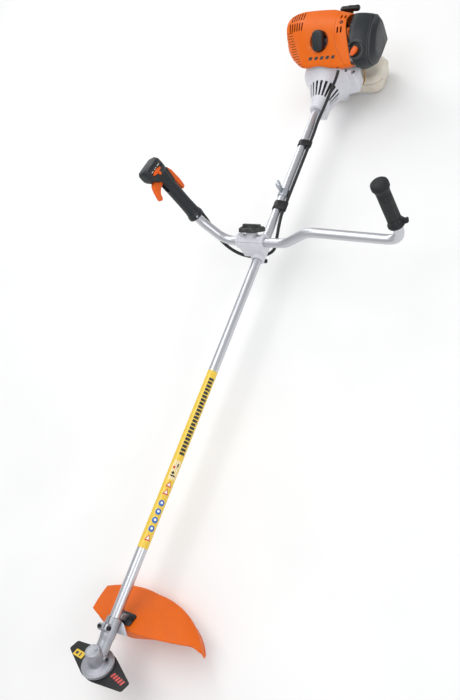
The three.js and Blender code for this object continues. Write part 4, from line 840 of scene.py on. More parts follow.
def carrying_eye():
    """Pressed band clamped round the tube, with a plate that has the harness hole."""
    band = moved(turned([(BORE_R, -11), (14.4, -11), (14.8, -10), (14.8, 10), (14.4, 11), (BORE_R, 11)], 64),
                 ALONG_X)
    plate = rounded([(-8, 12.6), (8, 12.6), (7, 26), (10.5, 40), (8, 52), (-8, 52), (-10.5, 40), (-7, 26)],
                    6, 6)
    plate = moved(softened(slab(plate, -1.8, 1.8), 0.7), turned_about("X", 90))
    hole = moved(rod(5.6, -8, 8, 40), ALONG_Y, shifted(0, 0, 44))
    ears = [moved(softened(slab(rectangle(17, 13, 3), -1.7, 1.7), 0.6), turned_about("X", 90),
                  shifted(0, y, -18.4)) for y in (-3.2, 3.2)]
    plate = cut(plate, hole)
    root = softened(block(-9, 9, -4, 4, 12.4, 15.4), 1.2)
    made = parts(band, plate, root, *ears)
    piece(made, "carrying_eye_pressed", MACHINE @ shifted(1228, 0, 0), "machine", ZINC, ["carrying_eye"],
          34)


carrying_eye()
hex_screw("carrying_eye_bolt", MACHINE @ shifted(1228, -5.3, -19) @ FRONT_FACING, "machine", 3.8, 3.6, 9.4,
          ZINC, "carrying_eye_screw")


# ---------- handle clamp ----------
HOLD_R, HOLD_WIDTH, BAR_R = 18.5, 78, 12


def clamp_base():
    """Lower half of the cast clamp: saddle for the bar, neck and sleeve round the tube."""
    saddle = moved(softened(rod(HOLD_R, -HOLD_WIDTH / 2, HOLD_WIDTH / 2), 1.2), ALONG_Y,
                   shifted(BAR_X, HOLD_Y, BAR_Z))
    neck = softened(block(BAR_X - 20, BAR_X + 20, HOLD_Y - 33, HOLD_Y + 33, 0, BAR_Z), 4, 3)
    sleeve = moved(softened(rod(18, -29, 29), 1.2), ALONG_X, shifted(BAR_X, 0, 0))
    body = blended(join(neck, saddle, sleeve), 1.2, 6)
    lug = moved(softened(rod(7.4, -9, 9, 40), 1), ALONG_Y,
                shifted(BAR_X - 15, 0, -TUBE_R - 9))
    body = join(body, lug)
    upper = moved(block(-60, 60, -80, 80, -0.4, 60), turned_about("Y", HOLD_LEAN), shifted(BAR_X, 0, BAR_Z))
    bar_hole = moved(rod(BORE_R, -80, 80), ALONG_Y, shifted(BAR_X, 0, BAR_Z))
    tube_hole = moved(rod(BORE_R, -60, 60), ALONG_X, shifted(BAR_X, 0, 0))
    slit = block(BAR_X - 40, BAR_X + 40, -1, 1, -40, -8)
    pinch = moved(rod(3.3, -30, 30, 24), ALONG_Y, shifted(BAR_X - 15, 0, -TUBE_R - 9))
    body = cut(body, upper, bar_hole, tube_hole, slit, pinch)
    piece(softened(body, 0.3, 1, 50), "clamp_base_cast", MACHINE, "machine", GREY, ["handle_clamp_base"],
          38)


def clamp_cap():
    """Upper half: ribbed shell over the bar with the seat of the knob and two screw bosses."""
    shell = moved(softened(rod(HOLD_R, -HOLD_WIDTH / 2, HOLD_WIDTH / 2, 72), 1.2), ALONG_Y)
    ribs = [moved(softened(rod(r, at - w, at + w, 72), 0.9), ALONG_Y)
            for at, w, r in ((-35.5, 3, 21), (35.5, 3, 21), (-27, 1.5, 19.8), (27, 1.5, 19.8))]
    seat = softened(turned([(0, 0), (16.5, 0), (15, 25.5), (0, 25.5)], 48), 1)
    bosses = [moved(softened(turned([(0, 0), (6.4, 0), (5.8, 16), (0, 16)], 36), 0.8), shifted(-13.5, y, 0))
              for y in (-27, 27)]
    body = join(shell, *ribs, seat, *bosses)
    under = block(-60, 60, -80, 80, -60, 0.3)
    sockets = [moved(rod(3.2, 11, 20, 6), shifted(-13.5, y, 0)) for y in (-27, 27)]
    body = cut(body, under, moved(rod(BORE_R, -80, 80), ALONG_Y), *sockets)
    piece(softened(body, 0.3, 1, 50), "clamp_cap_cast", HOLD, "machine", GREY, ["handle_clamp_cap"],
          38)


def clamp_knob():
    """Moulded five-lobed knob with a dished top and a finger wing."""
    rings = []
    profile = [(0.9, 25.9), (1.0, 27), (1.0, 34), (0.965, 37), (0.9, 38.2), (0.8, 37.6), (0.72, 35.8),
               (0.5, 35.2), (0.1, 35.2)]
    for share, height in profile:
        ring = []
        for i in range(120):
            turn = 2 * math.pi * i / 120
            lobe = 31.8 + 3.2 * math.cos(5 * turn) * min(1, max(0, (share - 0.5) / 0.4))
            ring.append((lobe * share * math.cos(turn), lobe * share * math.sin(turn), height))
        rings.append(ring)
    dish = loft(rings)
    waisted = rounded([(-7, -25), (7, -25), (5, 0), (7, 25), (-7, 25), (-5, 0)], 5)
    wing = moved(softened(slab(waisted, 0, 11.5), 2.4, 3), shifted(0, 0, 33.4))
    hub = turned([(0, 33), (12, 33), (10.5, 38.5), (8, 40), (0, 40)], 48)
    body = join(dish, wing, hub)
    notches = [moved(rod(3.4, 20, 50, 24), shifted(36.6, 0, 0),
                     turned_about("Z", 36 + 72 * i)) for i in range(5)]
    body = cut(body, *notches)
    piece(softened(body, 0.5, 2, 45), "clamp_knob_moulded", HOLD, "clamp_knob_body", BLACK, ["clamp_knob"],
          40)


clamp_base()
clamp_cap()
clamp_knob()
hex_screw("clamp_pinch_bolt", MACHINE @ shifted(BAR_X - 15, -9.3, -TUBE_R - 9) @ FRONT_FACING, "machine", 5.4,
          5, 16, BLACK_STEEL, "clamp_pinch_screw")


# ---------- handlebar and grips ----------
def up_grip(foot, lean, length):
    turn = math.radians(lean)
    return Vector((0, foot[0] + length * math.sin(turn), foot[1] + length * math.cos(turn)))


def bar_path():
    corners = [up_grip(RIGHT_FOOT, RIGHT_LEAN, 96), up_grip(RIGHT_FOOT, RIGHT_LEAN, -14), Vector((0, 88, 0)),
               Vector((0, -88, 0)), Vector((0, -160, 44)), up_grip(LEFT_FOOT, LEFT_LEAN, -44),
               up_grip(LEFT_FOOT, LEFT_LEAN, 112)]
    path = [corners[0]]
    for i, bend in enumerate((90, 60, 70, 70, 34)):
        corner = corners[i + 1]
        into = (corner - corners[i]).normalized()
        away = (corners[i + 2] - corner).normalized()
        reach = bend * math.tan(into.angle(away) / 2)
        start, end = corner - into * reach, corner + away * reach
        for step in range(15):
            t = step / 14
            path.append(start * (1 - t) ** 2 + corner * 2 * t * (1 - t) + end * t * t)
    path.append(corners[-1])
    return path


piece(piped(bar_path(), BAR_R, 48), "handlebar_bent_tube", BAR, "handlebar_set", BAR_SKIN, ["handlebar"],
      40)


def left_grip():
    """Moulded grip: flanged foot with a finger hook, plain waist with rings, domed end."""
    body = turned([(BORE_R, 3.6), (17.6, 3.6), (19.2, 4.6), (19.7, 7), (19.6, 10.4), (18.4, 12.4), (17.2, 14),
                   (16.6, 17), (16.3, 28), (16.4, 60), (16.2, 92), (16.3, 100), (17.2, 105), (18.8, 109),
                   (20.3, 111.4), (20.5, 113), (20.5, 116.2), (20.1, 116.6), (20.1, 117.4), (20.5, 117.8),
                   (20.4, 121), (19.2, 125), (16.6, 127.4), (12, 128.3), (0, 128.6), (0, 114.2),
                   (BORE_R, 114.2)], 96)
    grooves = [turned([(15.6, z - 0.7), (17.6, z - 0.7), (17.6, z + 0.7), (15.6, z + 0.7)], 72)
               for z in (24, 29, 34, 39, 84, 89, 94)]
    body = cut(body, *grooves)
    hook = rounded([(14, 4.6), (26, 5), (29.5, 9), (28, 14), (23, 12.6), (19, 17), (14, 26)], 3.2, 5)
    hook = moved(softened(slab(hook, -5.5, 5.5), 1.8, 3), turned_about("X", 90), turned_about("Z", -70))
    body = join(body, hook)
    body = cut(body, rod(BORE_R, 0, 114, 48))
    piece(body, "left_grip_moulded", LEFT_HAND, "handlebar_set", RUBBER, ["left_grip"], 40)


left_grip()


def plate_across(points, half, edge=1.4, radius=3.0):
    """Lever cut from an outline in X and Z, centred on Y 0."""
    made = softened(slab(rounded(points, radius, 5), -half, half), edge, 3, 40)
    return moved(made, turned_about("X", 90))


TRACK = (-36, 14, 161.5, 172.5)             # recess that the stop switch slides in: X, then Z


def throttle_grip():
    """Two moulded halves: waisted grip, flanged foot, and an egg-shaped head with a flat end."""
    waist = turned([(0, 2.4), (19.6, 2.4), (20.6, 4), (20.9, 9), (20.5, 13), (18.6, 18), (17.4, 26),
                    (16.8, 50), (17, 100), (18, 135), (18, 160), (0, 160)], 72)
    head = []
    for x, half_y, low, high in ((-45, 9, 163, 182), (-43, 15, 157, 186), (-37, 19.5, 152, 187.6),
                                 (-24, 22, 150, 188), (-8, 22.2, 148, 188), (6, 21, 146, 188),
                                 (14, 18.5, 146, 187), (19, 14.5, 149, 184), (20.6, 8, 156, 178)):
        ring = rounded([(-half_y, low), (half_y, low), (half_y, high), (-half_y, high)],
                       [min(half_y, 15), min(half_y, 15), min(half_y, 9), min(half_y, 9)], 6)
        head.append([(x, y, z) for y, z in ring])
    head = loft(head)
    jaw = rounded([(-4, 108), (15, 112), (21, 152), (-38, 156), (-28, 143), (-16, 136)], 5)
    chin = moved(slab(jaw, -15, 15), turned_about("X", 90))
    body = blended(join(waist, head, chin), 1.3, 8)
    end = rounded([(-40, -14), (16, -14), (17, 0), (16, 14), (-40, 14), (-44, 0)], 11, 8)
    end = moved(softened(slab(end, 0, 2), 0.9), shifted(0, 0, 186.4))
    body = join(body, end)
    bore = rod(BORE_R, -4, 98, 56)
    front = block(-42, -3, -6.2, 6.2, 103, 156.5)
    rear = block(6, 42, -6.2, 6.2, 99, 154)
    track = softened(block(TRACK[0], TRACK[1], -40, -18.5, TRACK[2], TRACK[3]), 2.4, 3)
    slit = block(-40, 17, -40, -20.4, 176, 178.4)
    seams = [block(-60, 60, -0.35, 0.35, 1, 104), block(-60, 60, -0.35, 0.35, 157, 200)]
    inner = turned([(0, -2), (16.4, -2), (16.2, 100), (17.2, 140), (17.2, 156), (0, 156)], 48)
    seams[0] = cut(seams[0], inner)
    seams[1] = cut(seams[1], moved(slab(rectangle(56, 40, 14), 150, 187.4), shifted(-12, 0, 0)))
    ring = turned([(20.2, 14.6), (24, 14.6), (24, 15.6), (18.9, 15.6)], 64)
    screw_hole = moved(rod(3.6, -6, 6, 32), ALONG_X, shifted(-20, 0, 8), turned_about("Z", 50))
    body = cut(body, bore, front, rear, track, slit, *seams, ring, screw_hole)
    piece(softened(body, 0.3, 1, 50), "throttle_grip_halves", RIGHT_HAND, "handlebar_set", SLATE,
          ["throttle_grip"], 40)
    screw = moved(softened(cut(turned([(0, -1.6), (3.3, -1.6), (3.3, 1.2), (0, 1.8)], 36),
                               block(-4, 4, -0.5, 0.5, 0.9, 4)), 0.25), turned_about("Y", -90),
                  shifted(-17.6, 0, 8), turned_about("Z", 50))
    piece(screw, "throttle_grip_screw", RIGHT_HAND, "handlebar_set", ZINC, (), 40)


throttle_grip()
trigger = [(-8, 141), (-11, 151), (-26, 152), (-43, 147), (-50, 134), (-57, 112), (-54, 106), (-47, 107),
           (-42, 119), (-30, 127), (-16, 129)]
piece(plate_across(trigger, 5.6, 1.8, 4), "throttle_trigger_moulded", RIGHT_HAND, "trigger", ORANGE_LEVER,
      ["throttle_trigger"], 40)
lockout = [(9, 150), (19, 151.5), (28, 147), (34, 132), (36, 100), (33, 79), (24, 77), (22, 104), (17, 132),
           (9, 140)]
piece(plate_across(lockout, 5.5, 1.2, 2), "lockout_lever_moulded", RIGHT_HAND, "lockout", ORANGE_LEVER,
      ["lockout_lever"], 40)


def stop_switch():
    """Slide: a spindle 33 mm long with a thumb fin."""
    spindle = rounded([(-34.5, -1.2), (-24, -4.7), (-16, -4.9), (-3, -1.2), (-3, 1.2), (-16, 4.9), (-24, 4.7),
                       (-34.5, 1.2)], 3, 5)
    body = softened(slab(spindle, 18.9, 25), 1.1, 3, 40)
    fin = softened(slab(rounded([(-20.5, -4), (-13.5, -4), (-15, -12.5), (-19, -12.5)], 2.2, 5), 21.4, 27.5),
                   1.2, 3, 40)
    ridges = [softened(block(x, x + 1.3, -3, 3, 24.4, 26), 0.4) for x in (-27, -24, -9.6, -6.8)]
    body = parts(join(body, fin), *ridges)
    moved(body, turned_about("X", 90), shifted(0, 0, (TRACK[2] + TRACK[3]) / 2))
    piece(body, "stop_switch_slide_moulded", RIGHT_HAND, "switch", ORANGE_LEVER, ["stop_switch"],
          40)


stop_switch()
for i, (x, length) in enumerate(((-31, 7), (-20, 3), (-14, 3), (-3, 9))):
    mark = softened(moved(slab(rectangle(length, 1.6, 0.5), 0, 0.12), turned_about("X", 90),
                          shifted(x, -22.25, 174.3)), 0.03)
    piece(mark, f"switch_mark_{i}", RIGHT_HAND, "handlebar_set", FILM_WHITE, (), 40)


# ---------- engine: clutch housing ----------
FAN_REAR = 1662


def clutch_housing():
    """Moulded cone with cooling slots, collar at its mouth, fan rim and the side wing."""
    outer = [(BORE_R, 1521), (20.2, 1521), (20.9, 1522), (20.9, 1528.6), (20.3, 1530.2), (19.8, 1532.6),
             (20.6, 1538), (25.5, 1551), (30, 1561), (35, 1573), (39.6, 1584), (44, 1595), (48.4, 1603),
             (53, 1611), (58, 1617), (64, 1623), (69, 1628), (71.6, 1632), (72, 1636), (72, 1661.9)]
    inner = [(68.8, 1661.9), (68.8, 1638), (60, 1626), (49.6, 1611), (41.8, 1596), (32.4, 1574), (22.6, 1553),
             (BORE_R, 1549)]
    cone = moved(turned(outer + inner, 112), ALONG_X)
    # black cone just inside the housing: painted shade seen through its cooling slots
    shade_liner = moved(turned([(21, 1555.6), (30.9, 1576.4), (40.4, 1598.2), (48.4, 1613.2), (47.6, 1613.8),
                           (39.6, 1598.8), (30.1, 1577), (20.2, 1556.2)], 72), ALONG_X)
    keel = [(1522, -10), (1513, -21), (1521, -36), (1549, -34), (1639, -74), (1666, -111), (1684, -111),
            (1684, -90), (1671, -70), (1660, -50), (1600, -20)]
    keel = softened(slab(keel, -20, 20), 2, 3, 30)
    moved(keel, turned_about("X", 90))
    pocket = [(1560, -44), (1634, -78), (1662, -104), (1666, -84), (1640, -58)]
    pocket = moved(softened(slab(pocket, -24, 24), 0.01, 1), turned_about("X", 90))
    pocket = cut(pocket, block(1500, 1700, -17, 17, -130, 0))
    inside = moved(turned([(0, 1500), (BORE_R, 1500), *inner[::-1], (68.8, 1700), (0, 1700)], 96), ALONG_X)
    keel = cut(keel, inside, pocket)
    wing_points = [(-50, 46), (-80, 40), (-92, 10), (-88, -40), (-50, -50)]
    wing = moved(softened(slab(rounded(wing_points, 9, 5), 0, 34), 2.2, 3, 40), turned_about("Y", 90),
                 turned_about("X", 90), shifted(FAN_REAR - 34, 0, 0))
    chamber = moved(rod(65, 1600, 1668, 72), ALONG_X)
    wing = cut(wing, chamber)
    body = join(cone, wing, keel)
    slots = []
    for i in range(19):
        turn = 360 / 19 * i
        outline = rounded([(1555, -2.6), (1595, -4.0), (1595, 4.0), (1555, 2.6)], 2.2, 4)
        if not 130 < (turn + 8) % 360 < 230:
            slots.append(moved(slab(outline, 17, 60), turned_about("X", turn + 8)))
    body = cut(body, *slots)
    holes = [moved(rod(r, -20, 20, 32), turned_about("Y", -60), shifted(x, y, z))
             for x, y, z, r in ((1630, -66, 38, 4.4), (1634, -82, 27, 4.2))]
    body = cut(body, *holes)
    painted(body, GREY)
    painted(shade_liner, BLACK)
    made = parts(softened(body, 0.5, 2, 50), shade_liner)
    piece(made, "clutch_housing_moulded", MACHINE, "machine", None, ["clutch_housing"],
          36)


clutch_housing()

# ---------- engine: shroud, side panel and filter cover ----------
SHROUD_REAR = 1754
SHROUD_OUTLINE = [(1648, 16), (1624, 52), (1606, 68), (1607, 76), (1632, 99), (1660, 124), (1684, 141),
                  (1712, 149), (1738, 149), (1749, 140), (1754, 116), (1754, 16)]
SHROUD_ROUND = [2, 12, 5, 6, 40, 40, 40, 40, 12, 9, 12, 2]
SHROUD_MIDDLE = Vector((1722, 76))
SHROUD_STATIONS = [(-106, 0.93, 0.87, 0), (-92, 0.96, 0.92, 0), (-86, 0.978, 0.943, 0), (-76, 0.99, 0.975, 0),
                   (-62, 1, 1, 0), (-30, 1, 1, 5), (10, 1, 1, 9), (46, 1, 1, 10), (64, 0.93, 0.994, 11.5),
                   (80, 0.78, 0.97, 12), (92, 0.67, 0.94, 10.5), (102, 0.56, 0.9, 8), (109, 0.48, 0.84, 5.6),
                   (113, 0.42, 0.78, 4), (116.4, 0.36, 0.7, 2), (118, 0.3, 0.62, 0)]
COVER_OUTLINE = [(1664, 4), (1634, 28), (1620, 54), (1622, 72), (1644, 96), (1668, 114), (1694, 124),
                 (1722, 128), (1750, 126), (1764, 112), (1768, 84), (1764, 4)]
COVER_ROUND = [8, 14, 9, 10, 26, 26, 20, 20, 10, 9, 12, 8]
COVER_MIDDLE = Vector((1700, 60))


def between(stations, count):
    """Stations filled in smoothly: Catmull-Rom in all four numbers."""
    points = [Vector(s) for s in stations]
    ends = [points[0] * 2 - points[1], *points, points[-1] * 2 - points[-2]]
    made = []
    for a, b, c, d in zip(ends, ends[1:], ends[2:], ends[3:], strict=False):
        for step in range(count):
            t = step / count
            made.append(0.5 * (2 * b + (c - a) * t + (2 * a - 5 * b + 4 * c - d) * t * t
                               + (3 * b - a - 3 * c + d) * t ** 3))
    return made + [points[-1]]


def hood(outline, radii, middle, stations, inset=0.0, clip=None):
    """Skin over the stations: each is the outline shrunk about its middle."""
    rings = []
    smooth = rounded(outline, radii, 7)
    for y, length, height, shift in stations:
        ring = []
        for x, z in smooth:
            low = 0.34 * min(1, max(0, (100 - z) / 40)) * min(1, max(0, (112 - y) / 40))
            low = low if y > 0 and x < middle.x else 0
            corner = 0.22 * min(1, max(0, (-30 - y) / 60)) * min(1, max(0, (x - 1706) / 40))
            drop = 1 - corner if middle is SHROUD_MIDDLE and z > middle.y else 1
            away = Vector(((x - middle.x) * (length + (1 - length) * low), (z - middle.y) * height * drop))
            away *= max(0.05, (away.length - inset) / away.length)
            place_x = middle.x + away.x + shift
            ring.append((min(place_x, clip) if clip else place_x, y, middle.y + away.y))
        rings.append(ring)
    return loft(rings)


def shroud_hood(stations, inset, gap):
    """Skin of the shroud, that far inside its outline and that far short of its rear."""
    return hood(SHROUD_OUTLINE, SHROUD_ROUND, SHROUD_MIDDLE, stations, inset, SHROUD_REAR - gap)


def cover_hood(stations, inset=0.0):
    return hood(COVER_OUTLINE, COVER_ROUND, COVER_MIDDLE, stations, inset)


def fan_room():
    return moved(rod(73.4, 1521, 1664, 96), ALONG_X)


# X and Y of the joint between shroud and side panel
SEAM = [(1765, -52), (1729, -49), (1707, -47), (1684, -46), (1668, -46), (1651, -50), (1635, -58),
        (1619, -70), (1604, -84), (1590, -96)]
SEAM_LINE = [(p.x, p.y) for p in smooth_path([Vector((x, y, 0)) for x, y in SEAM], 6)]


def beyond_seam(gap):
    """Everything on the operator's left of the seam, as a prism."""
    edge = [(x, y - gap) for x, y in SEAM_LINE]
    return slab([*edge, (1560, -200), (1800, -200)][::-1], -60, 220)


def beyond_split(gap):
    """The filter cover's side of the slanting joint between side panel and cover."""
    rings = []
    for x in (1500, 1900):
        joint = [(x, -77 - (139 - z) * 0.3 - gap, z) for z in (-80, 220)]
        rings.append([*joint, (x, -260, 220), (x, -260, -80)])
    return outward(loft(rings))


def shroud_shell():
    stations = between(SHROUD_STATIONS, 3)
    outer = shroud_hood(stations, 0, 0)
    inner_stations = [(y + (-4 if y <= -91 else -3.0 * max(0, (y - 60) / 58)), *rest)
                      for y, *rest in stations]
    inner = shroud_hood(inner_stations, 3, 3)
    low = block(1622, 1751, -120, 66, -30, 50)
    return cut(outer, inner, fan_room(), low)


def shroud_shade_liner():
    """Black shell just inside the shroud: painted shade seen through its slots."""
    inward = [(y - 4.4 * max(0, (y - 60) / 58) + (1 if y < -90 else 0), *rest)
              for y, *rest in between(SHROUD_STATIONS, 2)]
    outer = shroud_hood(inward, 3.1, 3.1)
    deeper = [(y + (-6 if y < -88 else -0.8 if y > 60 else 0), *rest) for y, *rest in inward]
    inner = shroud_hood(deeper, 4, 4)
    return cut(outer, inner, fan_room(), block(1500, 1800, -130, 130, -30, 62))


def starter_room():
    return moved(rod(31, 1730, 1765, 48), ALONG_X)


def plug_room():
    return moved(turned([(0, -60), (30, -60), (46, 30), (0, 30)], 48), MACHINE.inverted() @ PLUG)


def slot_cutter(x, y, z, length, width, lean, deep=16, turn=0):
    """Rounded slot cut square to a surface that leans by this many degrees."""
    shape = softened(slab(rectangle(length, width, width * 0.45, 4), -deep, deep), 0.01, 1)
    return moved(shape, turned_about("Z", turn), turned_about("Y", -lean), shifted(x, y, z))


def engine_shroud():
    shell = cut(shroud_shell(), beyond_seam(0))
    well = turned([(0, -40), (25.6, -40), (25.6, -13.6), (33.4, 4), (41, 24), (0, 24)], 72)
    wall = turned([(25.2, -22), (28, -22), (28, -14.5), (44, 24), (41, 24), (33, 4), (25.2, -13.5)], 72)
    floor = turned([(19, -24), (27, -22), (27, -19.6), (19, -21.4)], 72)
    for shape in (well, wall, floor):
        moved(shape, MACHINE.inverted() @ PLUG)
    shell = cut(shell, well)
    wall = join(wall, floor)
    outside = shroud_hood(between(SHROUD_STATIONS, 3), 0.4, 1)
    wall = kept_inside(wall, outside)
    starter = moved(rod(31, 1738, 1760, 48), ALONG_X)
    cable_notch = moved(rod(6.6, 1585, 1662, 36), ALONG_X, shifted(0, -58, 66))
    outlet = moved(rod(8, 1730, 1775, 36), ALONG_X, shifted(0, 90, 84))
    slots = [slot_cutter(1731, 56 + 7.6 * i, 146, 25, 3.8, 0, 14) for i in range(6)]
    slots += [slot_cutter(1702, 57 + 8.4 * i, 138, 23, 4.2, 38, 14) for i in range(6)]
    lines = []
    for i in range(15):
        t = i / 14
        x, z = 1696 - 82 * t, 124 - 56 * t
        near = 90 - 44 * t ** 1.3
        cutter = block(-9, 18, near, 130, -0.9, 0.9)
        lines.append(moved(cutter, turned_about("Y", 48), shifted(x, 0, z)))
    side_slots = []
    for row in range(4):
        for i in range(5):
            at = shifted(1700 + 15 * row * 0.82, 0, 96 - 13 * i + 4 * row)
            side_slots.append(moved(softened(slab(rectangle(13, 4.6, 2), 80, 140), 0.01, 1),
                                    turned_about("X", -90), at))
    shell = cut(shell, starter, cable_notch, outlet, *slots, *side_slots)
    shell = cut(shell, *lines)
    shade_liner = cut(shroud_shade_liner(), beyond_seam(0.4), plug_room(), starter_room())
    # the black shell behind the slots is painted shade
    painted(shade_liner, BLACK)
    painted(shell, ORANGE)
    painted(wall, ORANGE)
    made = parts(softened(shell, 0.6, 2, 50), softened(wall, 0.4, 1, 60), shade_liner)
    piece(made, "engine_shroud_moulded", MACHINE, "machine", None, ["engine_shroud"], 32)


engine_shroud()


def side_panel():
    shell = kept_inside(shroud_shell(), beyond_seam(0.7))
    scoop = moved(turned([(0, 20), (27, 20), (22, 190), (0, 190)], 72), shifted(1686, -104, 0))
    slots = [slot_cutter(1715, y, 147, 15, 5, 4, 14) for y in (-60, -70.5)]
    slots += [slot_cutter(1678, y, 136, 16, 5, 38, 14) for y in (-55, -65.5)]
    dimple = moved(turned([(0, -1.8), (5.4, -1.8), (6.4, 4), (8, 14), (0, 14)], 40), turned_about("Y", -22),
                   shifted(1697, -64, 144.6))
    shell = cut(shell, scoop, dimple, beyond_split(0), *slots)
    screw = moved(softened(cut(turned([(0, -3), (4.8, -3), (4.8, 0.6), (3.6, 1.4), (0, 1.6)], 36),
                               rod(2.2, 0.2, 3, 6)), 0.3),
                  turned_about("Y", -22), shifted(1697.6, -64, 142.6))
    painted(shell, ORANGE)
    painted(screw, BLACK_STEEL)
    scoop_wall = moved(turned([(25, 60), (27.6, 60), (22.9, 172), (20.3, 172)], 72), shifted(1686, -104, 0))
    outside = shroud_hood(between(SHROUD_STATIONS, 3), 0.5, 1)
    scoop_wall = kept_inside(scoop_wall, outside)
    scoop_wall = cut(scoop_wall, beyond_split(0))
    painted(scoop_wall, ORANGE)
    made = parts(softened(shell, 0.6, 2, 50), scoop_wall, screw)
    piece(made, "side_panel_moulded", MACHINE, "machine", None, ["shroud_side_panel"], 32)


side_panel()


def filter_cover():
    """Deep cover with a chamfered face, a dark channel round the face and the choke recess, whose floor is a black
    disc of painted shade.
    """
    stations = [(-92.3, 1, 1, 0), (-104, 0.985, 0.985, 1), (-118, 0.955, 0.945, 2.4), (-130, 0.91, 0.89, 5),
                (-134.6, 0.885, 0.86, 6)]
    shell = cover_hood([(-66, 1, 1, 0), *between(stations, 3)])
    channel = [(-134, 0.84, 0.815, 6), (-138.4, 0.84, 0.815, 6.8)]
    face = [(-137.6, 0.875, 0.845, 6.8), (-139.4, 0.868, 0.838, 7.4), (-141, 0.84, 0.81, 8.2),
            (-148.6, 0.66, 0.64, 12.8), (-149.7, 0.63, 0.61, 13.6), (-150, 0.6, 0.58, 14)]
    groove = cover_hood(channel)
    front = cover_hood(face)
    shell = join(shell, groove, front)
    hollow = [(-60, 1, 1, 0), (-86, 1, 1, 0), (-118, 0.955, 0.945, 2.4), (-132, 0.84, 0.8, 6),
              (-144, 0.6, 0.58, 12)]
    inner = cover_hood(between(hollow, 2), 3.2)
    shell = cut(shell, inner)
    boss = moved(turned([(17, -9), (23.4, -9), (23.4, 3), (22.6, 4.2), (20.4, 4.2), (19.6, 3), (17, -2)], 64),
                 CHOKE)
    shell = join(shell, boss)
    recess = moved(turned([(0, -7), (18.4, -7), (19.4, 4), (20, 24), (0, 24)], 64), CHOKE)
    wing = block(1600, 1665, -110, -30, -60, 46)
    vents = [moved(rod(1.5, -153, -147, 20), turned_about("X", -90),
                   shifted(1728 + 4 * i, 0, 44 + 7 * i)) for i in (-1, 0, 1)]
    shell = cut(kept_inside(shell, beyond_split(0.7)), recess, wing, *vents)
    # black disc at the bottom of the choke recess: painted shade
    dark = moved(rod(18.7, -9, -6.8, 48), CHOKE)
    painted(shell, SLATE)
    painted(dark, BLACK)
    made = parts(softened(shell, 0.7, 2, 34), dark)
    piece(made, "air_filter_cover_moulded", MACHINE, "machine", None, ["air_filter_cover"],
          30)


filter_cover()


def choke_lever():
    """Turning knob with a pointed thumb lever, in its recess."""
    disc = softened(turned([(0, -3), (8.4, -3), (8.4, 1.4), (0, 1.8)], 48), 0.6)
    lever = softened(slab(rounded([(-6, -9), (6, -9), (8, 5), (3.6, 16.6), (-3.6, 16.6), (-8, 5)], 3.4, 5),
                          -0.5, 7.4), 1.5, 3, 40)
    made = join(disc, lever)
    notch = softened(block(-1, 1, 4, 13, 6.8, 9), 0.3)
    made = cut(made, notch)
    piece(made, "choke_lever_moulded", MACHINE @ CHOKE @ turned_about("Z", 55), "choke", ORANGE_LEVER,
          ["choke_lever"], 40)


choke_lever()


def plug_boot():
    """Rubber-like boot: domed, with a waist, over the spark plug."""
    rings = []
    for height, length, width in ((-13, 44, 26), (-10, 51, 30), (-2, 55, 32), (4, 56, 33), (7.4, 53, 31.4),
                                  (9, 48, 28), (9.8, 38, 20), (10, 20, 10)):
        corners = [(-length / 2, -width / 2 * 0.86), (length / 2, -width / 2), (length / 2, width / 2),
                   (-length / 2, width / 2 * 0.86)]
        ring = rounded(corners, [width * 0.36, width * 0.46, width * 0.46, width * 0.36], 7)
        rings.append([(x, y, height - 1) for x, y in ring])
    body = loft(rings)
    ridge = moved(softened(block(-15, 15, -1.2, 1.2, 7.6, 10), 0.8), shifted(2, 0, 0))
    socket = rod(6.4, -40, -4, 32)
    body = cut(join(body, ridge), socket)
    piece(softened(body, 0.6, 2, 40), "spark_plug_boot_moulded", PLUG, "machine", SLATE, ["spark_plug_boot"],
          36)


plug_boot()


def stripes():
    """Plain slanted bars on the front of the shroud."""
    lean = math.degrees(math.atan2(24, 26))
    stations = between(SHROUD_STATIONS, 3)
    for i in range(5):
        y = 32 - i * 17.5
        bar = slab([(-4.2, y), (4.2, y - 3.2), (4.2, y - 13.4), (-4.2, y - 10.2)], -20, 20)
        moved(bar, turned_about("Y", -lean - 1.5), shifted(1630, 0, 88))
        outside = shroud_hood(stations, -0.25, 0)
        inside = shroud_hood(stations, 0.8, 0)
        bar = cut(kept_inside(bar, outside), inside)
        piece(bar, f"shroud_stripe_{i}", MACHINE, "machine", FILM_BLACK, (), 40)


stripes()

# ---------- starter, tank and foot ----------
def starter_housing():
    """Rewind starter cover: dished, with cooling slots in rings and the tower of the rope."""
    shell = turned([(0, 34.6), (0, 38), (31, 38), (34, 37.2), (44, 31.5), (47, 29), (52.4, 16), (54, 12),
                    (54, 0), (51, 0), (51, 11), (43, 27), (32, 34.6)], 96)
    ribs = [turned([(r - 0.8, 35), (r - 0.8, 39.2), (r + 0.8, 39.2), (r + 0.8, 35)], 72) for r in (10, 27)]
    shell = join(shell, *ribs)
    slots = []
    for count, radius, length in ((12, 21, 11), (20, 38, 9)):
        for i in range(count):
            slots.append(moved(softened(slab(rectangle(length, 3.6, 1.7, 4), 15, 45), 0.01, 1),
                               shifted(radius, 0, 0), turned_about("Z", 360 / count * i)))
    shell = moved(cut(shell, *slots), ALONG_X, shifted(1755, 0, 0))
    tower = moved(softened(slab(rectangle(26, 26, 7), -12, 106), 2.4, 3, 40), shifted(1775, -60, 0))
    room_inside = moved(turned([(0, -5), (50.8, -5), (50.8, 12), (42.8, 27), (0, 27)], 64), ALONG_X,
                        shifted(1755, 0, 0))
    tower = cut(tower, room_inside, block(1700, 1755, -100, 100, -100, 120),
                moved(turned([(0, 80), (3.2, 80), (3.2, 105), (6, 109), (0, 109)], 32),
                      shifted(1772, -60, 0)))
    made = join(shell, tower)
    piece(softened(made, 0.4, 1, 50), "starter_housing_moulded", MACHINE, "machine", SLATE,
          ["starter_housing"], 34)


starter_housing()


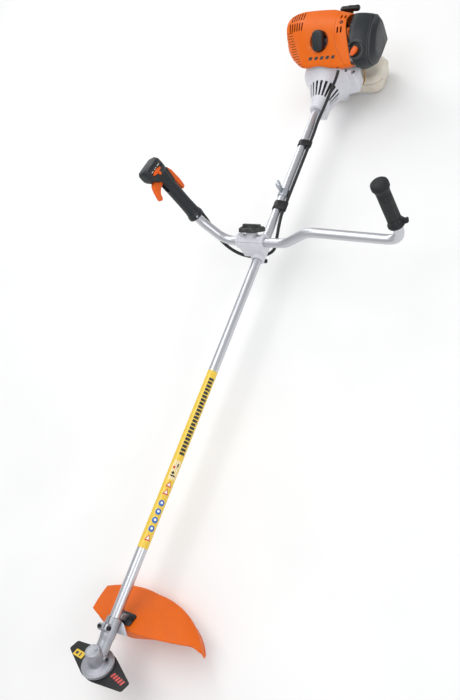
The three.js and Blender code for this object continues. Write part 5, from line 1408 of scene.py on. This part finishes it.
def starter_grip():
    """T-grip with a waist and a cap over the rope's knot."""
    rings = []
    for y, width, height in ((-28, 8, 8), (-26.4, 13, 12), (-22, 16.4, 14.6), (-12, 15.4, 14), (0, 17, 15),
                             (12, 15.4, 14), (22, 16.4, 14.6), (26.4, 13, 12), (28, 8, 8)):
        ring = rounded([(-width / 2, -height / 2), (width / 2, -height / 2), (width / 2, height / 2),
                        (-width / 2, height / 2)], min(width, height) * 0.42, 6)
        rings.append([(x, y, z + 16.2) for x, z in ring])
    body = loft(rings)
    stem = turned([(0, 1.8), (5.4, 1.8), (6.2, 2.6), (8.2, 10), (0, 11)], 40)
    cap = turned([(0, 22), (5.6, 22), (5, 24), (3.4, 24.6), (0, 24.7)], 40)
    body = softened(join(body, stem, cap), 0.4, 2, 45)
    piece(body, "starter_grip_moulded", STARTER, "starter_pull_grip", BLACK, ["starter_grip"],
          40)


starter_grip()


TANK_X, TANK_LOW, TANK_HIGH = 1742, -120.7, -58
TANK_MIDDLE = (TANK_LOW + TANK_HIGH) / 2


def fuel_tank():
    """Blow-moulded tank: rounded shoulders, a parting seam, and its filler neck to the right."""
    x0, x1, y0, y1, low, high = 1696, 1798, -116, 80, TANK_LOW, TANK_HIGH
    middle_x, middle_y = (x0 + x1) / 2, (y0 + y1) / 2
    rings = []
    for height, grow, radius in ((low, -13, 20), (low + 2, -7, 26), (low + 7, -2.5, 30), (low + 16, 0, 32),
                                 (high - 25, 0.4, 32), (high - 14, -0.6, 32), (high - 6, -4, 29),
                                 (high - 2, -9, 24), (high, -16, 18)):
        length, width = x1 - x0 + 2 * grow, y1 - y0 + 2 * grow
        rings.append([(x + middle_x, y + middle_y, height) for x, y in rectangle(length, width, radius, 9)])
    body = loft(rings)
    around = [(x + middle_x, y + middle_y) for x, y in rectangle(x1 - x0 + 6, y1 - y0 + 6, 34, 9)]
    seam = softened(slab(around, high - 26, high - 22.4), 0.8, 2)
    neck = moved(rod(17, 60, 88, 48), ALONG_Y, shifted(TANK_X, 0, TANK_MIDDLE))
    waist = moved(softened(slab(rectangle(60, 26, 10), -3, 3), 2, 3), turned_about("X", 90),
                  shifted(1747, y0 - 1.2, low + 30))
    body = cut(join(body, seam, neck), waist)
    piece(softened(body, 0.5, 2, 40), "fuel_tank_blow_moulded", MACHINE, "machine", TANK, ["fuel_tank"],
          36)
    # gasket that looks out between the housing and the tank
    path = [Vector(p) for p in ((1664, -60, -58), (1668, -84, -46), (1673, -92, -22), (1670, -97, -4),
                                (1668, -95, 2))]
    piece(piped(smooth_path(path, 8), 2.0, 12), "tank_gasket_bead", MACHINE, "machine", GASKET, (),
          60)


fuel_tank()


def fuel_cap():
    rim = []
    for i in range(96):
        turn = 2 * math.pi * i / 96
        radius = 21 - 0.7 * (0.5 + 0.5 * math.cos(24 * turn))
        rim.append((radius * math.cos(turn), radius * math.sin(turn)))
    body = softened(slab(rim, 0, 12), 1.2, 2, 50)
    dish = turned([(0, 9.6), (15, 9.6), (16.4, 13), (0, 13)], 48)
    body = cut(body, dish)
    grip = softened(slab(rounded([(-17, -3), (0, -4.2), (17, -3), (17, 3), (0, 4.2), (-17, 3)], 2.4), 9, 17),
                    1.4, 3, 40)
    body = join(body, grip)
    moved(body, turned_about("X", -90))
    piece(body, "fuel_cap_moulded", MACHINE @ shifted(TANK_X, 88.3, TANK_MIDDLE), "tank_cap", SLATE,
          ["fuel_cap"], 36)


fuel_cap()
sole = [(x + TANK_X, y - 18) for x, y in rectangle(78, 128, 14, 8)]
foot = softened(slab(sole, FLOOR, FLOOR + 5), 1.2, 3)
ribs = [softened(block(x - 1.5, x + 1.5, -78, 42, FLOOR + 4, -120.9), 0.4)
        for x in (TANK_X - 30, TANK_X - 15, TANK_X, TANK_X + 15, TANK_X + 30)]
piece(join(foot, *ribs), "support_foot_moulded", MACHINE, "machine", GREY, ["support_foot"],
      36)


# ---------- room, light and camera ----------
def room():
    corners = [(-40, -40), (40, -40), (40, 40), (-40, 40)]
    paper = as_object("floor_paper", [(x, y, -0.0006) for x, y in corners], [(0, 1, 2, 3)])
    made, tree, surface, place = blank("matt_pale_paper", Roughness=0.9)
    mottle = node(tree, "ShaderNodeTexNoise", {"Scale": 3.0, "Detail": 2.0},
                  {"Vector": place.outputs["Object"]})
    tone = node(tree, "ShaderNodeValToRGB", links={"Fac": mottle.outputs["Fac"]},
                stops=[(0.3, srgb("#F3F3F2")), (0.7, srgb("#F8F8F7"))])
    tree.links.new(tone.outputs["Color"], surface.inputs["Base Color"])
    painted(paper, made)


def soft_light(name, place, target, size, power):
    data = bpy.data.lights.new(name, "AREA")
    data.shape = "RECTANGLE"
    data.size, data.size_y = size
    data.energy = power
    lamp = bpy.data.objects.new(name, data)
    lamp.location = place
    lamp.rotation_euler = (Vector(target) - Vector(place)).to_track_quat("-Z", "Y").to_euler()
    bpy.context.scene.collection.objects.link(lamp)


room()
MIDDLE = (-0.85, -0.05, 0.15)
soft_light("overhead_softbox", (-0.9, 0.3, 2.9), MIDDLE, (2.6, 1.6), 34)
soft_light("left_softbox", (-1.9, -2.6, 1.9), MIDDLE, (1.8, 1.2), 19)
soft_light("rear_strip", (0.9, 1.4, 1.6), MIDDLE, (0.6, 2.2), 16)
world = bpy.data.worlds.new("pale_studio")
world.use_nodes = True
world.node_tree.nodes["Background"].inputs["Color"].default_value = srgb("#F2F3F5")
world.node_tree.nodes["Background"].inputs["Strength"].default_value = 0.66
bpy.context.scene.world = world
bpy.context.scene.view_settings.view_transform = "Standard"

CAMERA_PLACE = (-1.61687, -0.95005, 1.53867)
CAMERA_RIGHT = (0.34369, -0.84799, -0.40348)
CAMERA_UP = (0.87198, 0.12867, 0.47234)
CAMERA_BACK = (-0.34862, -0.51416, 0.78365)
lens = bpy.data.cameras.new("camera")
lens.lens = 38.057
lens.sensor_width = 36
lens.clip_start = 0.05
camera = bpy.data.objects.new("camera", lens)
camera.matrix_world = Matrix([*zip(CAMERA_RIGHT, CAMERA_UP, CAMERA_BACK, CAMERA_PLACE, strict=True),
                              (0, 0, 0, 1)])
bpy.context.scene.collection.objects.link(camera)
bpy.context.scene.camera = camera

# ---------- finishes of the CAD nodes that stay in sight ----------
FINISH = {
    "blade_coating": BLADE_COAT, "cast_aluminium": CASTING, "machined_steel": BRIGHT, "zinc_steel": ZINC,
    "black_steel": BLACK_STEEL, "anodised_tube": TUBE_SKIN, "orange_plastic": ORANGE, "slate_plastic": SLATE,
    "grey_housing": GREY, "grip_rubber": RUBBER, "tank_plastic": TANK, "label_film": FILM_YELLOW,
    "cable_sheath": BRAID, "bronze": BRONZE, "filter_paper": PAPER,
}
slot_of = {row["node"]: row["material_slot"] for row in frame["record"]["subparts"]}
for name, obj in frame["nodes"].items():
    if obj.hide_render:
        continue
    finish = FINISH[slot_of[name]]
    for index in range(max(1, len(obj.data.materials))):
        if len(obj.data.materials) <= index:
            obj.data.materials.append(finish)
        obj.data.materials[index] = finish
